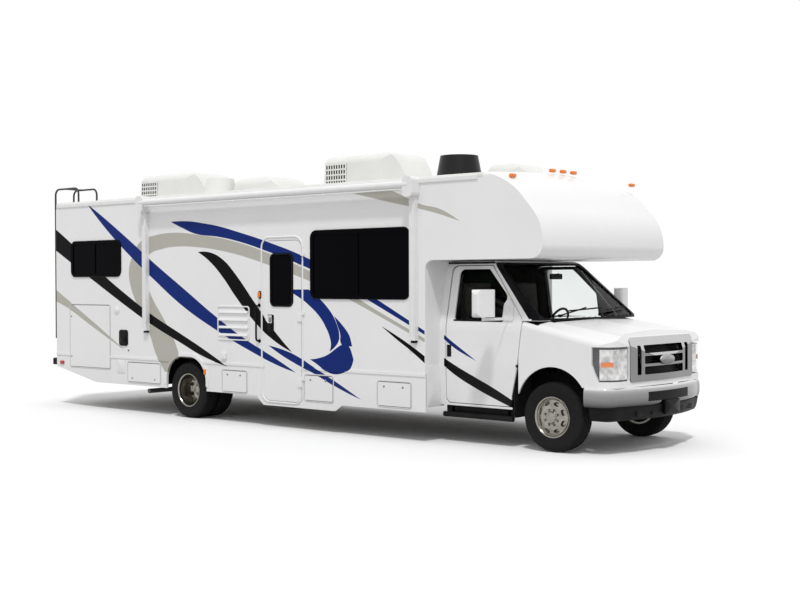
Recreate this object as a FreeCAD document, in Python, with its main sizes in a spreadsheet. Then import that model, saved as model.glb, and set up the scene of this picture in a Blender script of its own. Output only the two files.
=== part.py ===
# Motorhome on a cutaway van chassis. Millimetres, +X forward, +Y to the driver's side, +Z up.
# The origin is on the ground, in the middle of the overall length and width.
import FreeCAD, Part
import math
import os
import Sketcher
from FreeCAD import Placement, Rotation, Vector

doc = FreeCAD.newDocument("motorhome")

# Driving sizes, one alias each
SIZES = {
    # overall layout
    "overall_length": 9675,
    "overall_width": 3050,
    "front_overhang": 880,
    "wheelbase": 5664,
    "ladder_stand_off": 145,
    "ladder_tube": 14,
    # wheels and axles
    "tyre_radius": 372,
    "tyre_width": 225,
    "tyre_shoulder": 34,
    "rim_radius": 214,
    "rim_lip": 14,
    "front_track": 1763,
    "rear_track": 1970,
    "dual_spacing": 262,
    "spindle_radius": 30,
    "rear_spindle_radius": 45,
    "bearing_gap": 0.3,
    "kingpin_inset": 105,
    "kingpin_radius": 18,
    "steering_arm": 130,
    # chassis
    "frame_half_width": 432,
    "frame_front": 640,
    "rail_width": 70,
    "rail_height": 185,
    "rail_wall": 8,
    "crossmember": 70,
    "engine_length": 840,
    "engine_width": 600,
    "engine_height": 500,
    "tank_length": 900,
    "exhaust_radius": 32,
    # coach
    "coach_half_width": 1257,
    "coach_wall": 45,
    "coach_front_set": 1520,
    "cap_seam_set": 126,
    "belt_height": 775,
    "floor_top": 860,
    "floor_thickness": 60,
    "step_inner": 700,
    "wall_top": 2930,
    "roof_edge": 60,
    "roof_crown": 50,
    "bunk_underside": 2050,
    "bunk_thickness": 45,
    "skirt_wall": 20,
    "skirt_rear": 575,
    "skirt_low": 380,
    "skirt_entry": 270,
    "skirt_front": 345,
    "arch_radius": 405,
    "arch_flare": 42,
    "flare_proud": 14,
    "cap_wall": 26,
    "cap_bow_radius": 4600,
    "cap_nose": 240,
    # entry door and windows
    "door_rear_set": 4150,
    "door_front_set": 3476,
    "door_bottom": 330,
    "door_top": 2328,
    "door_corner": 110,
    "door_gap": 7,
    "door_stop": 16,
    "window_corner": 70,
    "window_proud": 12,
    "glass_thickness": 6,
    # cab
    "cab_half_width": 1000,
    "cab_wall": 28,
    "cab_roof": 2042,
    "cab_low": 420,
    "cab_lean": 150,
    "hood_half_width": 790,
    "clip_wall": 22,
    "door_thickness": 60,
    "hinge_radius": 3.5,
    "panel_gap": 8,
    "bumper_half_width": 1030,
    "bumper_low": 505,
    "bumper_high": 705,
    # storage doors, the boxes behind them, and the hair of room where one piece sits against another
    "storage_gap": 6,
    "bin_wall": 10,
    "bin_rim": 18,
    "bin_depth": 480,
    "seat_gap": 0.3,
}

sheet = doc.addObject("Spreadsheet::Sheet", "sizes")
for row, (alias, number) in enumerate(SIZES.items(), 1):
    sheet.set(f"A{row}", alias)
    sheet.set(f"B{row}", str(number))
    sheet.setAlias(f"B{row}", alias)
doc.recompute()


class Size:
    """A length with its value and the sheet expression that gives it, so that both go through the same sums."""

    def __init__(self, value, text):
        self.value = float(value)
        self.text = text

    def __add__(self, other):
        other = size(other)
        return Size(self.value + other.value, f"({self.text} + {other.text})")

    def __sub__(self, other):
        other = size(other)
        return Size(self.value - other.value, f"({self.text} - {other.text})")

    def __mul__(self, other):
        other = size(other)
        return Size(self.value * other.value, f"({self.text} * {other.text})")

    def __truediv__(self, other):
        other = size(other)
        return Size(self.value / other.value, f"({self.text} / {other.text})")

    def __radd__(self, other):
        return size(other) + self

    def __rsub__(self, other):
        return size(other) - self

    def __rmul__(self, other):
        return size(other) * self

    def __neg__(self):
        return Size(-self.value, f"(0 - {self.text})")

    def __float__(self):
        return self.value


def size(number):
    """A named cell, a Size or a plain number, as a Size."""
    if isinstance(number, Size):
        return number
    if isinstance(number, str):
        return Size(float(sheet.get(number)), f"sizes.{number}")
    return Size(number, f"({float(number):.6g})")


def bind(thing, prop, value):
    thing.setExpression(prop, size(value).text)


def place(thing, x, y, z):
    thing.Placement.Base = Vector(float(size(x)), float(size(y)), float(size(z)))
    for axis, value in zip("xyz", (x, y, z)):
        bind(thing, f"Placement.Base.{axis}", value)


def block(name, x, y, z):
    """A box between two values on each axis."""
    box = doc.addObject("Part::Box", name)
    for prop, (low, high) in zip(("Length", "Width", "Height"), (x, y, z)):
        bind(box, prop, size(high) - size(low))
    place(box, x[0], y[0], z[0])
    return box


TURNS = {"X": Rotation(Vector(0, 1, 0), 90), "Y": Rotation(Vector(1, 0, 0), -90), "Z": Rotation()}


def rod(name, radius, axis, start, length):
    """A cylinder along +X, +Y or +Z from its start point."""
    bar = doc.addObject("Part::Cylinder", name)
    bind(bar, "Radius", radius)
    bind(bar, "Height", length)
    bar.Placement = Placement(Vector(), TURNS[axis])
    place(bar, *start)
    return bar


# Each drawing plane: turn of the sketch, the axis it is moved along, and that axis as a direction
PLANES = {
    "XZ": (Rotation(Vector(1, 0, 0), 90), "y", Vector(0, 1, 0)),
    "YZ": (Rotation(Vector(1, 1, 1), 120), "x", Vector(1, 0, 0)),
    "XY": (Rotation(), "z", Vector(0, 0, 1)),
}


def unit(a, b):
    d = (b[0] - a[0], b[1] - a[1])
    n = math.hypot(*d)
    return (d[0] / n, d[1] / n)


def hold(sketch, anchor, point):
    """Ties a point of the sketch to its two sheet values."""
    for kind, value in (("DistanceX", point[0]), ("DistanceY", point[1])):
        held = sketch.addConstraint(Sketcher.Constraint(kind, -1, 1, *anchor, value.value))
        sketch.setExpression(f"Constraints[{held}]", value.text)


def draw(sketch, points, closed=True):
    """An outline or path in a sketch. Each point is (u, v) or (u, v, corner radius), and is held to the sheet."""
    corners = [tuple(size(c) for c in p) for p in points]
    flat = [(p[0].value, p[1].value) for p in corners]
    count = len(flat)
    ends = []
    for i, p in enumerate(corners):
        if len(p) == 2:
            ends.append((flat[i], flat[i], None))
            continue
        back, ahead = unit(flat[i], flat[i - 1]), unit(flat[i], flat[(i + 1) % count])
        between = math.acos(max(-1, min(1, back[0] * ahead[0] + back[1] * ahead[1])))
        reach = p[2].value / math.tan(between / 2)
        start = (flat[i][0] + back[0] * reach, flat[i][1] + back[1] * reach)
        end = (flat[i][0] + ahead[0] * reach, flat[i][1] + ahead[1] * reach)
        middle = (back[0] + ahead[0], back[1] + ahead[1])
        scale = p[2].value / math.sin(between / 2) / math.hypot(*middle)
        centre = (flat[i][0] + middle[0] * scale, flat[i][1] + middle[1] * scale)
        ends.append((start, end, centre))
    lines = []
    for i in range(count if closed else count - 1):
        a, b = ends[i][1], ends[(i + 1) % count][0]
        lines.append(sketch.addGeometry(Part.LineSegment(Vector(*a, 0), Vector(*b, 0)), False))
    for i, p in enumerate(corners):
        if not closed and i in (0, count - 1):
            held_end = (lines[0], 1) if i == 0 else (lines[-1], 2)
            hold(sketch, held_end, p)
            continue
        before, after = lines[i - 1], lines[i]
        if len(p) == 2:
            sketch.addConstraint(Sketcher.Constraint("Coincident", before, 2, after, 1))
            anchor = (after, 1)
        else:
            start, end, centre = ends[i]
            a0 = math.atan2(start[1] - centre[1], start[0] - centre[0])
            a1 = math.atan2(end[1] - centre[1], end[0] - centre[0])
            turn = (a1 - a0) % (2 * math.pi)
            forward = turn < math.pi
            circle = Part.Circle(Vector(*centre, 0), Vector(0, 0, 1), p[2].value)
            arc = Part.ArcOfCircle(circle, *((a0, a1) if forward else (a1, a0)))
            arc_id = sketch.addGeometry(arc, False)
            first, last = (1, 2) if forward else (2, 1)
            sketch.addConstraint(Sketcher.Constraint("Tangent", before, 2, arc_id, first))
            sketch.addConstraint(Sketcher.Constraint("Tangent", arc_id, last, after, 1))
            radius = sketch.addConstraint(Sketcher.Constraint("Radius", arc_id, p[2].value))
            sketch.setExpression(f"Constraints[{radius}]", p[2].text)
            corner = sketch.addGeometry(Part.Point(Vector(*flat[i], 0)), True)
            sketch.addConstraint(Sketcher.Constraint("PointOnObject", corner, 1, before))
            sketch.addConstraint(Sketcher.Constraint("PointOnObject", corner, 1, after))
            anchor = (corner, 1)
        hold(sketch, anchor, p)


def outline(name, plane, points, at=0):
    sketch = doc.addObject("Sketcher::SketchObject", name)
    turn, axis, _ = PLANES[plane]
    sketch.Placement = Placement(Vector(), turn)
    bind(sketch, f"Placement.Base.{axis}", at)
    draw(sketch, points)
    return sketch


def plate(name, plane, points, low, high):
    """A closed outline carried from one value to another across its plane."""
    drawn = outline(name + "_outline", plane, points, low)
    body = doc.addObject("Part::Extrusion", name)
    body.Base = drawn
    body.DirMode = "Custom"
    body.Dir = PLANES[plane][2]
    body.Solid = True
    bind(body, "LengthFwd", size(high) - size(low))
    return body


def turned(name, points, x=0, y=0, z=0):
    """A profile of (distance along Y, radius) turned once round the Y axis, then placed."""
    drawn = outline(name + "_profile", "YZ", points)
    ring = doc.addObject("Part::Revolution", name)
    ring.Source = drawn
    ring.Axis = Vector(0, 1, 0)
    ring.Angle = 360
    ring.Solid = True
    place(ring, x, y, z)
    return ring


def fuse(name, *parts):
    if len(parts) == 1:
        return parts[0]
    whole = doc.addObject("Part::MultiFuse", name)
    whole.Shapes = list(parts)
    whole.Refine = True
    return whole


def common(name, *parts):
    whole = doc.addObject("Part::MultiCommon", name)
    whole.Shapes = list(parts)
    return whole


def cut(name, base, *tools):
    left = doc.addObject("Part::Cut", name)
    left.Base = base
    left.Tool = fuse(name + "_tools", *tools)
    return left


def apart(name, *parts):
    """Like pieces on one body that don't touch, kept as one compound."""
    group = doc.addObject("Part::Compound", name)
    group.Links = list(parts)
    return group


def mirrored(name, source):
    """The driver's side copy of a passenger side piece."""
    copy = doc.addObject("Part::Mirroring", name)
    copy.Source = source
    copy.Normal = Vector(0, 1, 0)
    return copy


NODES = {}


def node(name, thing):
    """Names a finished sub-part: its label is its file's name."""
    thing.Label = name
    NODES[name] = thing
    return thing


def rectangle(u, v, corner):
    return [(u[0], v[0], corner), (u[1], v[0], corner), (u[1], v[1], corner), (u[0], v[1], corner)]


# Places that several sub-parts share
FRONT_AXLE = size("overall_length") / 2 - "front_overhang"
REAR_AXLE = FRONT_AXLE - "wheelbase"
REAR_WALL = size("ladder_stand_off") - size("overall_length") / 2
COACH_FRONT = FRONT_AXLE - "coach_front_set"
CAP_SEAM = FRONT_AXLE - "cap_seam_set"
OUTSIDE = size("coach_half_width")
INSIDE = OUTSIDE - "coach_wall"
FLOOR_UNDER = size("floor_top") - "floor_thickness"
DOOR_X = (FRONT_AXLE - "door_rear_set", FRONT_AXLE - "door_front_set")


def fore(distance):
    """A place along the vehicle, from the front axle, forwards."""
    return FRONT_AXLE + distance


def sweep(name, plane, at, points, radius):
    """A round bar along an open path of straight runs and arcs; its first run lies along one axis of the plane."""
    path = doc.addObject("Sketcher::SketchObject", name + "_path")
    turn, axis, _ = PLANES[plane]
    path.Placement = Placement(Vector(), turn)
    bind(path, f"Placement.Base.{axis}", at)
    draw(path, points, closed=False)
    across = abs(size(points[1][0]).value - size(points[0][0]).value) > 1
    first, second = {"XZ": ("X", "Z"), "YZ": ("Y", "Z"), "XY": ("X", "Y")}[plane]
    along = first if across else second
    start = dict(zip((first, second), points[0]))
    start[axis.upper()] = at
    ring = doc.addObject("Part::Circle", name + "_ring")
    bind(ring, "Radius", radius)
    ring.Placement = Placement(Vector(), TURNS[along])
    place(ring, start["X"], start["Y"], start["Z"])
    bar = doc.addObject("Part::Sweep", name)
    bar.Sections = [ring]
    bar.Spine = (path, [])
    bar.Solid = True
    return bar


# Chassis
AXLE_HEIGHT = size("tyre_radius")
FRAME_LOW = FLOOR_UNDER - "rail_height"
FRAME_REAR = REAR_WALL + 90
ENGINE_REAR = fore(-400)
ENGINE_LOW = FRAME_LOW + 40
KINGPIN_Y = size("front_track") / 2 - "kingpin_inset"


def chassis_frame():
    outer, inner = size("frame_half_width"), size("frame_half_width") - "rail_width"
    low, wall = FRAME_LOW, size("rail_wall")
    channel = [(inner, low), (outer, low), (outer, FLOOR_UNDER), (inner, FLOOR_UNDER),
               (inner, FLOOR_UNDER - wall), (outer - wall, FLOOR_UNDER - wall), (outer - wall, low + wall),
               (inner, low + wall)]
    left = plate("left_rail", "YZ", channel, FRAME_REAR, fore("frame_front"))
    right = mirrored("right_rail", left)
    reach = outer - wall
    members = []
    places = [fore(560), fore(-2900), fore(-4300), REAR_AXLE + 620, REAR_AXLE - 620, FRAME_REAR + 140]
    for i, x in enumerate(places):
        half = size("crossmember") / 2
        members.append(block(f"crossmember_{i + 1}", (x - half, x + half), (-reach, reach), (low + 60, low + 130)))
    for i, x in enumerate((ENGINE_REAR + 120, ENGINE_REAR + 640)):
        half = size("crossmember") / 2
        carrier = block(f"engine_carrier_{i + 1}", (x - half, x + half), (-reach, reach), (low + wall, ENGINE_LOW))
        members.append(carrier)
    return fuse("frame", left, right, *members)


def engine():
    half = size("engine_width") / 2
    front = ENGINE_REAR + "engine_length"
    block_solid = block("engine", (ENGINE_REAR, front), (-half, half), (ENGINE_LOW, ENGINE_LOW + "engine_height"))
    gearbox = block("gearbox", (ENGINE_REAR - 800, ENGINE_REAR), (-150, 150), (ENGINE_LOW - 40, FLOOR_UNDER - 25))
    return fuse("engine_and_gearbox", block_solid, gearbox)


def rear_axle():
    pair = size("rear_track") / 2
    reach = pair + 58
    tube = rod("axle_tube", "rear_spindle_radius", "Y", (REAR_AXLE, -reach, AXLE_HEIGHT), reach * 2)
    housing = doc.addObject("Part::Sphere", "differential")
    bind(housing, "Radius", 150)
    place(housing, REAR_AXLE, 0, AXLE_HEIGHT)
    shaft_front = ENGINE_REAR - 800
    line = [(shaft_front, ENGINE_LOW + 40), (shaft_front - 200, ENGINE_LOW + 40, 600),
            (REAR_AXLE + 300, AXLE_HEIGHT, 600), (REAR_AXLE + 100, AXLE_HEIGHT)]
    shaft = sweep("driveshaft", "XZ", 0, line, 40)
    packs = []
    outer = size("frame_half_width")
    for side, name in ((1, "left"), (-1, "right")):
        near, far = (outer + 25) * side, (outer + 95) * side
        y = (near, far) if side > 0 else (far, near)
        seat_top = AXLE_HEIGHT + "rear_spindle_radius" + 15
        rear, front = REAR_AXLE - 700, REAR_AXLE + 700
        leaves = [(rear, FRAME_LOW - 30), (rear, FRAME_LOW + 5), (REAR_AXLE, seat_top + 45, 2200),
                  (front, FRAME_LOW + 5), (front, FRAME_LOW - 30), (REAR_AXLE, seat_top - 20, 2200)]
        packs.append(plate(name + "_leaves", "XZ", leaves, *y))
        seat_x = (REAR_AXLE - 60, REAR_AXLE + 60)
        packs.append(block(name + "_spring_seat", seat_x, y, (AXLE_HEIGHT, seat_top + 30)))
        rail = outer * side
        hanger_y = (rail, far) if side > 0 else (far, rail)
        for end, x in (("rear", REAR_AXLE - 690), ("front", REAR_AXLE + 690)):
            hanger_z = (FRAME_LOW - 25, FRAME_LOW + 110)
            packs.append(block(f"{name}_{end}_hanger", (x - 40, x + 40), hanger_y, hanger_z))
    return fuse("rear_axle_assembly", tube, housing, shaft, *packs)


def front_axle():
    eyes, bores = [], []
    for side in (1, -1):
        y = KINGPIN_Y * side
        eyes.append(rod(f"kingpin_eye_{side + 1}", 34, "Z", (FRONT_AXLE, y, AXLE_HEIGHT - 45), 90))
        bore = size("kingpin_radius") + "bearing_gap"
        bores.append(rod(f"kingpin_bore_{side + 1}", bore, "Z", (FRONT_AXLE, y, AXLE_HEIGHT - 60), 120))
        seat = (size("frame_half_width") - size("rail_width") / 2) * side
        top = FRAME_LOW
        foot = AXLE_HEIGHT + 30
        eyes.append(rod(f"front_spring_{side + 1}", 46, "Z", (FRONT_AXLE, seat, foot), top - foot))
    reach = KINGPIN_Y - 26
    beam_x, beam_z = (FRONT_AXLE - 40, FRONT_AXLE + 40), (AXLE_HEIGHT - 36, AXLE_HEIGHT + 36)
    beam = block("front_beam", beam_x, (-reach, reach), beam_z)
    return cut("front_axle_beam", fuse("front_beam_and_eyes", beam, *eyes), *bores)


ARM_PIN_X = FRONT_AXLE - "steering_arm"
ARM_UNDER = AXLE_HEIGHT - 60


def knuckle():
    """The driver's side knuckle: lugs above and below the axle's eye, kingpin, spindle and steering arm."""
    y, z = KINGPIN_Y, AXLE_HEIGHT
    x = (FRONT_AXLE - 36, FRONT_AXLE + 36)
    upper = block("upper_lug", x, (y - 34, y + 56), (z + 46, z + 60))
    lower = block("lower_lug", x, (y - 34, y + 56), (ARM_UNDER, z - 46))
    web = block("knuckle_web", x, (y + 38, y + 56), (ARM_UNDER, z + 60))
    kingpin = rod("kingpin", "kingpin_radius", "Z", (FRONT_AXLE, y, ARM_UNDER), 120)
    spindle = rod("spindle", "spindle_radius", "Y", (FRONT_AXLE, y + 50, z), size("kingpin_inset") + 32)
    arm = block("steering_arm_bar", (ARM_PIN_X - 16, FRONT_AXLE - 30), (y - 16, y + 16), (ARM_UNDER, z - 46))
    pin = rod("steering_pin", 9, "Z", (ARM_PIN_X, y, ARM_UNDER - 30), 32)
    return fuse("left_knuckle_solid", upper, lower, web, kingpin, spindle, arm, pin)


def tie_rod():
    z = ARM_UNDER - 26
    eyes, bores = [], []
    for side in (1, -1):
        eyes.append(rod(f"rod_eye_{side + 1}", 19, "Z", (ARM_PIN_X, KINGPIN_Y * side, z), 25))
        bore = size("bearing_gap") + 9
        bores.append(rod(f"rod_bore_{side + 1}", bore, "Z", (ARM_PIN_X, KINGPIN_Y * side, z - 5), 35))
    bar = rod("track_bar", 11, "Y", (ARM_PIN_X, -KINGPIN_Y, z + 12.5), KINGPIN_Y * 2)
    return cut("tie_rod_solid", fuse("tie_rod_bar", bar, *eyes), *bores)


def tyre(name, y):
    w, r, rim = size("tyre_width") / 2, size("tyre_radius"), size("rim_radius")
    side = [(-w + 14, rim - 8), (-w, rim + 66, 50), (-w + 4, r, "tyre_shoulder")]
    other = [(w - 4, r, "tyre_shoulder"), (w, rim + 66, 50), (w - 14, rim - 8)]
    return turned(name, side + other, y=y)


def rim(name, y):
    """A steel disc wheel, its dish towards +Y out to the bolting face."""
    w, face, seat = size("tyre_width") / 2, size("dual_spacing") / 2, size("rim_radius") - 8
    lip = seat + "rim_lip"
    outside = [(-w, lip), (-w + 10, lip), (-w + 12, seat), (w - 12, seat), (w - 10, lip), (w, lip), (w, seat - 8)]
    dish = [(w - 16, seat - 14, 8), (w - 40, seat - 20, 10), (face, 120, 24), (face, 58)]
    back = [(face - 9, 58), (face - 9, 116, 24), (w - 52, seat - 26, 14), (-w + 16, seat - 14, 8), (-w, seat - 8)]
    return turned(name, outside + dish + back, y=y)


def front_wheel():
    """The driver's side front wheel, centred on its tyre."""
    face = size("dual_spacing") / 2
    bore = size("spindle_radius") + "bearing_gap"
    end = size("tyre_width") / 2 - 16
    profile = [(-14, bore), (-14, 95), (face - 9, 95, 6), (face - 9, 57.5), (face + 20, 57.5, 12), (face + 26, 0),
               (end, 0), (end, bore)]
    hub = turned("front_hub", profile)
    return fuse("front_rim_and_hub", rim("front_rim_disc", 0), hub), tyre("front_tyre_ring", 0)


def rear_wheels():
    """The driver's side rear pair, back to back about the bolting face."""
    half = size("dual_spacing") / 2
    bore = size("rear_spindle_radius") + "bearing_gap"
    profile = [(-95, bore), (-95, 112, 8), (-9, 100), (-9, 57.5), (100, 57.5, 12), (108, 0), (70, 0), (70, bore)]
    hub = turned("rear_hub", profile)
    inner = rim("inner_rim", 0)
    outer = doc.addObject("Part::Mirroring", "outer_rim")
    outer.Source = inner
    outer.Normal = Vector(0, 1, 0)
    discs = []
    for name, source, y in (("inner_disc", inner, -half), ("outer_disc", outer, half)):
        group = apart(name, source)
        place(group, 0, y, 0)
        discs.append(group)
    tyres = apart("twin_tyres", tyre("inner_tyre", -half), tyre("outer_tyre", half))
    return fuse("twin_rims_and_hub", hub, *discs), tyres


def wheels():
    """Puts each wheel at its hub, with the passenger's side mirrored."""
    for end, x, y, made in (("front", FRONT_AXLE, size("front_track") / 2, front_wheel()),
                            ("rear", REAR_AXLE, size("rear_track") / 2, rear_wheels())):
        for kind, solid in zip(("rim", "tyre") if end == "front" else ("rims", "tyres"), made):
            left = apart(f"left_{end}_{kind}_at_hub", solid)
            place(left, x, y, AXLE_HEIGHT)
            node(f"left_{end}_{kind}", left)
            node(f"right_{end}_{kind}", mirrored(f"right_{end}_{kind}_at_hub", left))


def fuel_tank():
    half = size("frame_half_width") - "rail_width" - 20
    front = REAR_AXLE - 600
    top = FRAME_LOW + 60
    outline_points = rectangle((-half, half), (top - 260, top), 40)
    return plate("tank", "YZ", outline_points, front - "tank_length", front)


def exhaust():
    y = -(size("frame_half_width") + 213)
    high, low = AXLE_HEIGHT + 128, AXLE_HEIGHT - 60
    drop = REAR_AXLE - 470
    front = ENGINE_REAR - 700
    radius = size("exhaust_radius")
    route = [(front, high), (drop, high, 90), (drop - 90, low, 90), (drop - 220, low)]
    fall = sweep("exhaust_pipe", "XZ", y, route, radius)
    tail = sweep("tailpipe", "XY", low, [(drop - 180, y), (drop - 400, y, 130), (drop - 400, y - 560)], radius)
    silencer = rod("silencer", 95, "X", (fore(-3300), y, high), 900)
    rail = -size("frame_half_width")
    hangers = [block(f"exhaust_hanger_{i + 1}", (x - 12, x + 12), (y - 8, rail), (high - 10, FRAME_LOW + 40))
               for i, x in enumerate((fore(-1400), fore(-3600), REAR_AXLE + 850))]
    return fuse("exhaust_line", fall, tail, silencer, *hangers)


node("chassis_frame", chassis_frame())
node("engine_block", engine())
node("rear_axle", rear_axle())
node("front_axle", front_axle())
LEFT_KNUCKLE = node("left_knuckle", knuckle())
node("right_knuckle", mirrored("right_knuckle_solid", LEFT_KNUCKLE))
node("tie_rod", tie_rod())
wheels()
node("fuel_tank", fuel_tank())
node("exhaust", exhaust())


# Coach
WALL_TOP = size("wall_top")
BELT = size("belt_height")
BUNK_LOW = size("bunk_underside")
BUNK_TOP = BUNK_LOW + "bunk_thickness"
CAP_ROOF = fore(-707)
COACH_BACK = REAR_WALL + "coach_wall"
FRONT_WALL_X = (COACH_FRONT - "coach_wall", COACH_FRONT)
RIGHT_Y = (-OUTSIDE, -INSIDE)
SKIRT_Y = (-OUTSIDE, "skirt_wall" - OUTSIDE)
DOOR_Z = (size("door_bottom"), size("door_top"))
ARCH_TOP = AXLE_HEIGHT + 450
DOOR_FACE = -OUTSIDE - 6
DOOR_WINDOW = ((DOOR_X[0] + 130, DOOR_X[1] - 154), (size(1516), size(2157)))
HINGE_Y = -OUTSIDE - 18
HINGE_X = DOOR_X[1] + 6
STOP_FACE = -OUTSIDE + 35


def window_opening(name, x, z):
    """The hole for one window through the passenger side wall."""
    return plate(name, "XZ", rectangle(x, z, "window_corner"), -OUTSIDE - 40, -INSIDE + 40)


# Windows of the passenger side, as distances from the front axle and heights: name, rear, front, low, high, divider
WINDOWS = {
    "dinette": (-3300, -1765, 1630, 2410, -2549),
    "bedroom": (-8240, -7095, 1915, 2390, -7690),
}
# Storage doors, as distances from the front axle and heights: rear, front, low, high
LOCKERS = {
    "rear": (-8300, -7340, 586, 1490),
    "1": (-6930, -6214, 426, 700),
    "2": (-4940, -4475, 400, 676),
    "3": (-3430, -2956, 371, 680),
    "4": (-2238, -1732, 380, 663),
}
LEFT_LOCKERS = ("rear", "1", "4")


def span(pair):
    return fore(pair[0]), fore(pair[1])


def seam():
    """The line where the side wall meets the cab-over cap, from the bunk's underside up."""
    return [(CAP_SEAM, BUNK_LOW), (CAP_SEAM, size(2610), 450), (CAP_ROOF, WALL_TOP)]


def side_wall(name):
    start = seam()
    points = [(REAR_WALL, BELT), (COACH_FRONT, BELT), (COACH_FRONT, BUNK_LOW, 100)] + start
    return plate(name, "XZ", points + [(REAR_WALL, WALL_TOP, 60)], *RIGHT_Y)


def locker_hole(name, key):
    x0, x1, z0, z1 = LOCKERS[key]
    return plate(name, "XZ", rectangle((fore(x0), fore(x1)), (z0, z1), 24), -OUTSIDE - 40, -INSIDE + 40)


def entry_hole(name):
    return plate(name, "XZ", rectangle(DOOR_X, DOOR_Z, "door_corner"), -OUTSIDE - 60, -INSIDE + 40)


def arch_hole(name):
    x = (REAR_AXLE - "arch_radius", REAR_AXLE + "arch_radius")
    points = [(x[0], 200), (x[0], ARCH_TOP, 330), (x[1], ARCH_TOP, 330), (x[1], 200)]
    return plate(name, "XZ", points, -OUTSIDE - 40, -INSIDE + 40)


def right_wall():
    holes = [window_opening(f"{key}_opening", span(row), row[2:4]) for key, row in WINDOWS.items()]
    holes.append(entry_hole("entry_opening"))
    holes += [locker_hole("rear_locker_opening", "rear"), arch_hole("right_wall_arch")]
    panel = cut("right_wall_panel", side_wall("right_wall_sheet"), *holes)
    jamb = entry_jamb("upper", BELT, DOOR_Z[1])
    return fuse("right_wall_and_jamb", panel, jamb, *entry_hinge_lugs(HINGE_HEIGHTS[1:]))


def entry_jamb(part, low, high):
    """The stop that the entry door closes on, inside its opening, between two heights."""
    stop = size("door_stop")
    x, z = (DOOR_X[0] + stop, DOOR_X[1] - stop), (DOOR_Z[0] + stop, DOOR_Z[1] - stop)
    outer = plate(f"{part}_stop_outer", "XZ", rectangle(DOOR_X, DOOR_Z, "door_corner"), STOP_FACE, -INSIDE)
    corner = size("door_corner") - stop
    inner = plate(f"{part}_stop_inner", "XZ", rectangle(x, z, corner), STOP_FACE - 5, 5 - INSIDE)
    region = block(f"{part}_stop_region", (DOOR_X[0] - 5, DOOR_X[1] + 5), (STOP_FACE - 5, 5 - INSIDE), (low, high))
    return common(f"{part}_stop", cut(f"{part}_stop_ring", outer, inner), region)


HINGE_HEIGHTS = (DOOR_Z[0] + 200, DOOR_Z[0] + 1000, DOOR_Z[1] - 280)


def entry_hinge_lugs(heights):
    """The wall's halves of the entry door's hinges, above the door's own."""
    lugs = []
    for z in heights:
        low = z + 80 + "seat_gap"
        label = f"{low.value:.0f}"
        lugs.append(rod(f"wall_hinge_at_{label}", 8, "Z", (HINGE_X, HINGE_Y, low), 40))
        leaf_y = (HINGE_Y - 3, -OUTSIDE)
        lugs.append(block(f"wall_hinge_leaf_at_{label}", (HINGE_X, HINGE_X + 45), leaf_y, (low, low + 40)))
    return lugs


def left_wall():
    holes = [window_opening(f"left_{key}_opening", span(row), row[2:4]) for key, row in WINDOWS.items()]
    holes += [locker_hole("left_rear_locker_opening", "rear"), arch_hole("left_wall_arch")]
    return mirrored("left_wall_panel", cut("left_wall_source", side_wall("left_wall_sheet"), *holes))


# Where one length of the lower side panel meets the next, as distances from the front axle
SKIRT_SEAMS = (-7100, -6160, -5100, -4350, -2600)


def skirt(name, keys, entry):
    """The lower side panel in its lengths, with its wheel arch, belt rib and the mouths of its storage doors."""
    low, dip = size("skirt_low"), size("skirt_entry")
    edge = [(REAR_WALL, BELT), (REAR_WALL, "skirt_rear"), (fore(-7680), low, 300)]
    arch_x = (REAR_AXLE - "arch_radius", REAR_AXLE + "arch_radius")
    if entry:
        edge += [(fore(-4300), low, 60), (fore(-4170), dip, 60), (fore(-2920), dip, 60),
                 (fore(-2810), "skirt_front", 60)]
    else:
        edge += [(fore(-2810), "skirt_front", 300)]
    edge += [(COACH_FRONT, "skirt_front"), (COACH_FRONT, BELT)]
    sheet_panel = plate(name + "_sheet", "XZ", edge, *SKIRT_Y)
    rib = block(name + "_rib", (REAR_WALL, COACH_FRONT), (-OUTSIDE - 9, -OUTSIDE), (BELT - 32, BELT))
    flare = size("arch_flare")
    bow = [(arch_x[0] - flare, low + 60), (arch_x[0] - flare, ARCH_TOP + flare, 360),
           (arch_x[1] + flare, ARCH_TOP + flare, 360), (arch_x[1] + flare, low + 60),
           (arch_x[1], low + 60), (arch_x[1], ARCH_TOP, 330), (arch_x[0], ARCH_TOP, 330), (arch_x[0], low + 60)]
    ring = plate(name + "_flare", "XZ", bow, -OUTSIDE - "flare_proud", -OUTSIDE)
    holes = [locker_hole(f"{name}_{key}_hole", key) for key in keys] + [arch_hole(name + "_arch")]
    if entry:
        holes.append(entry_hole(name + "_entry_hole"))
    panel = cut(name + "_panel", fuse(name + "_ribbed", sheet_panel, rib, ring), *holes)
    if entry:
        panel = fuse(name + "_and_jamb", panel, entry_jamb("lower", DOOR_Z[0], BELT),
                     *entry_hinge_lugs(HINGE_HEIGHTS[:1]))
    half = size("seat_gap") / 2
    ends = [REAR_WALL - 10, *(fore(x) for x in SKIRT_SEAMS), COACH_FRONT + 10]
    lengths = []
    for i, (back, front) in enumerate(zip(ends, ends[1:])):
        room = block(f"{name}_room_{i + 1}", (back + half, front - half), (-OUTSIDE - 50, 0), (0, 1000))
        lengths.append(common(f"{name}_length_{i + 1}", panel, room))
    return apart(name + "_lengths", *lengths)


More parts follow.
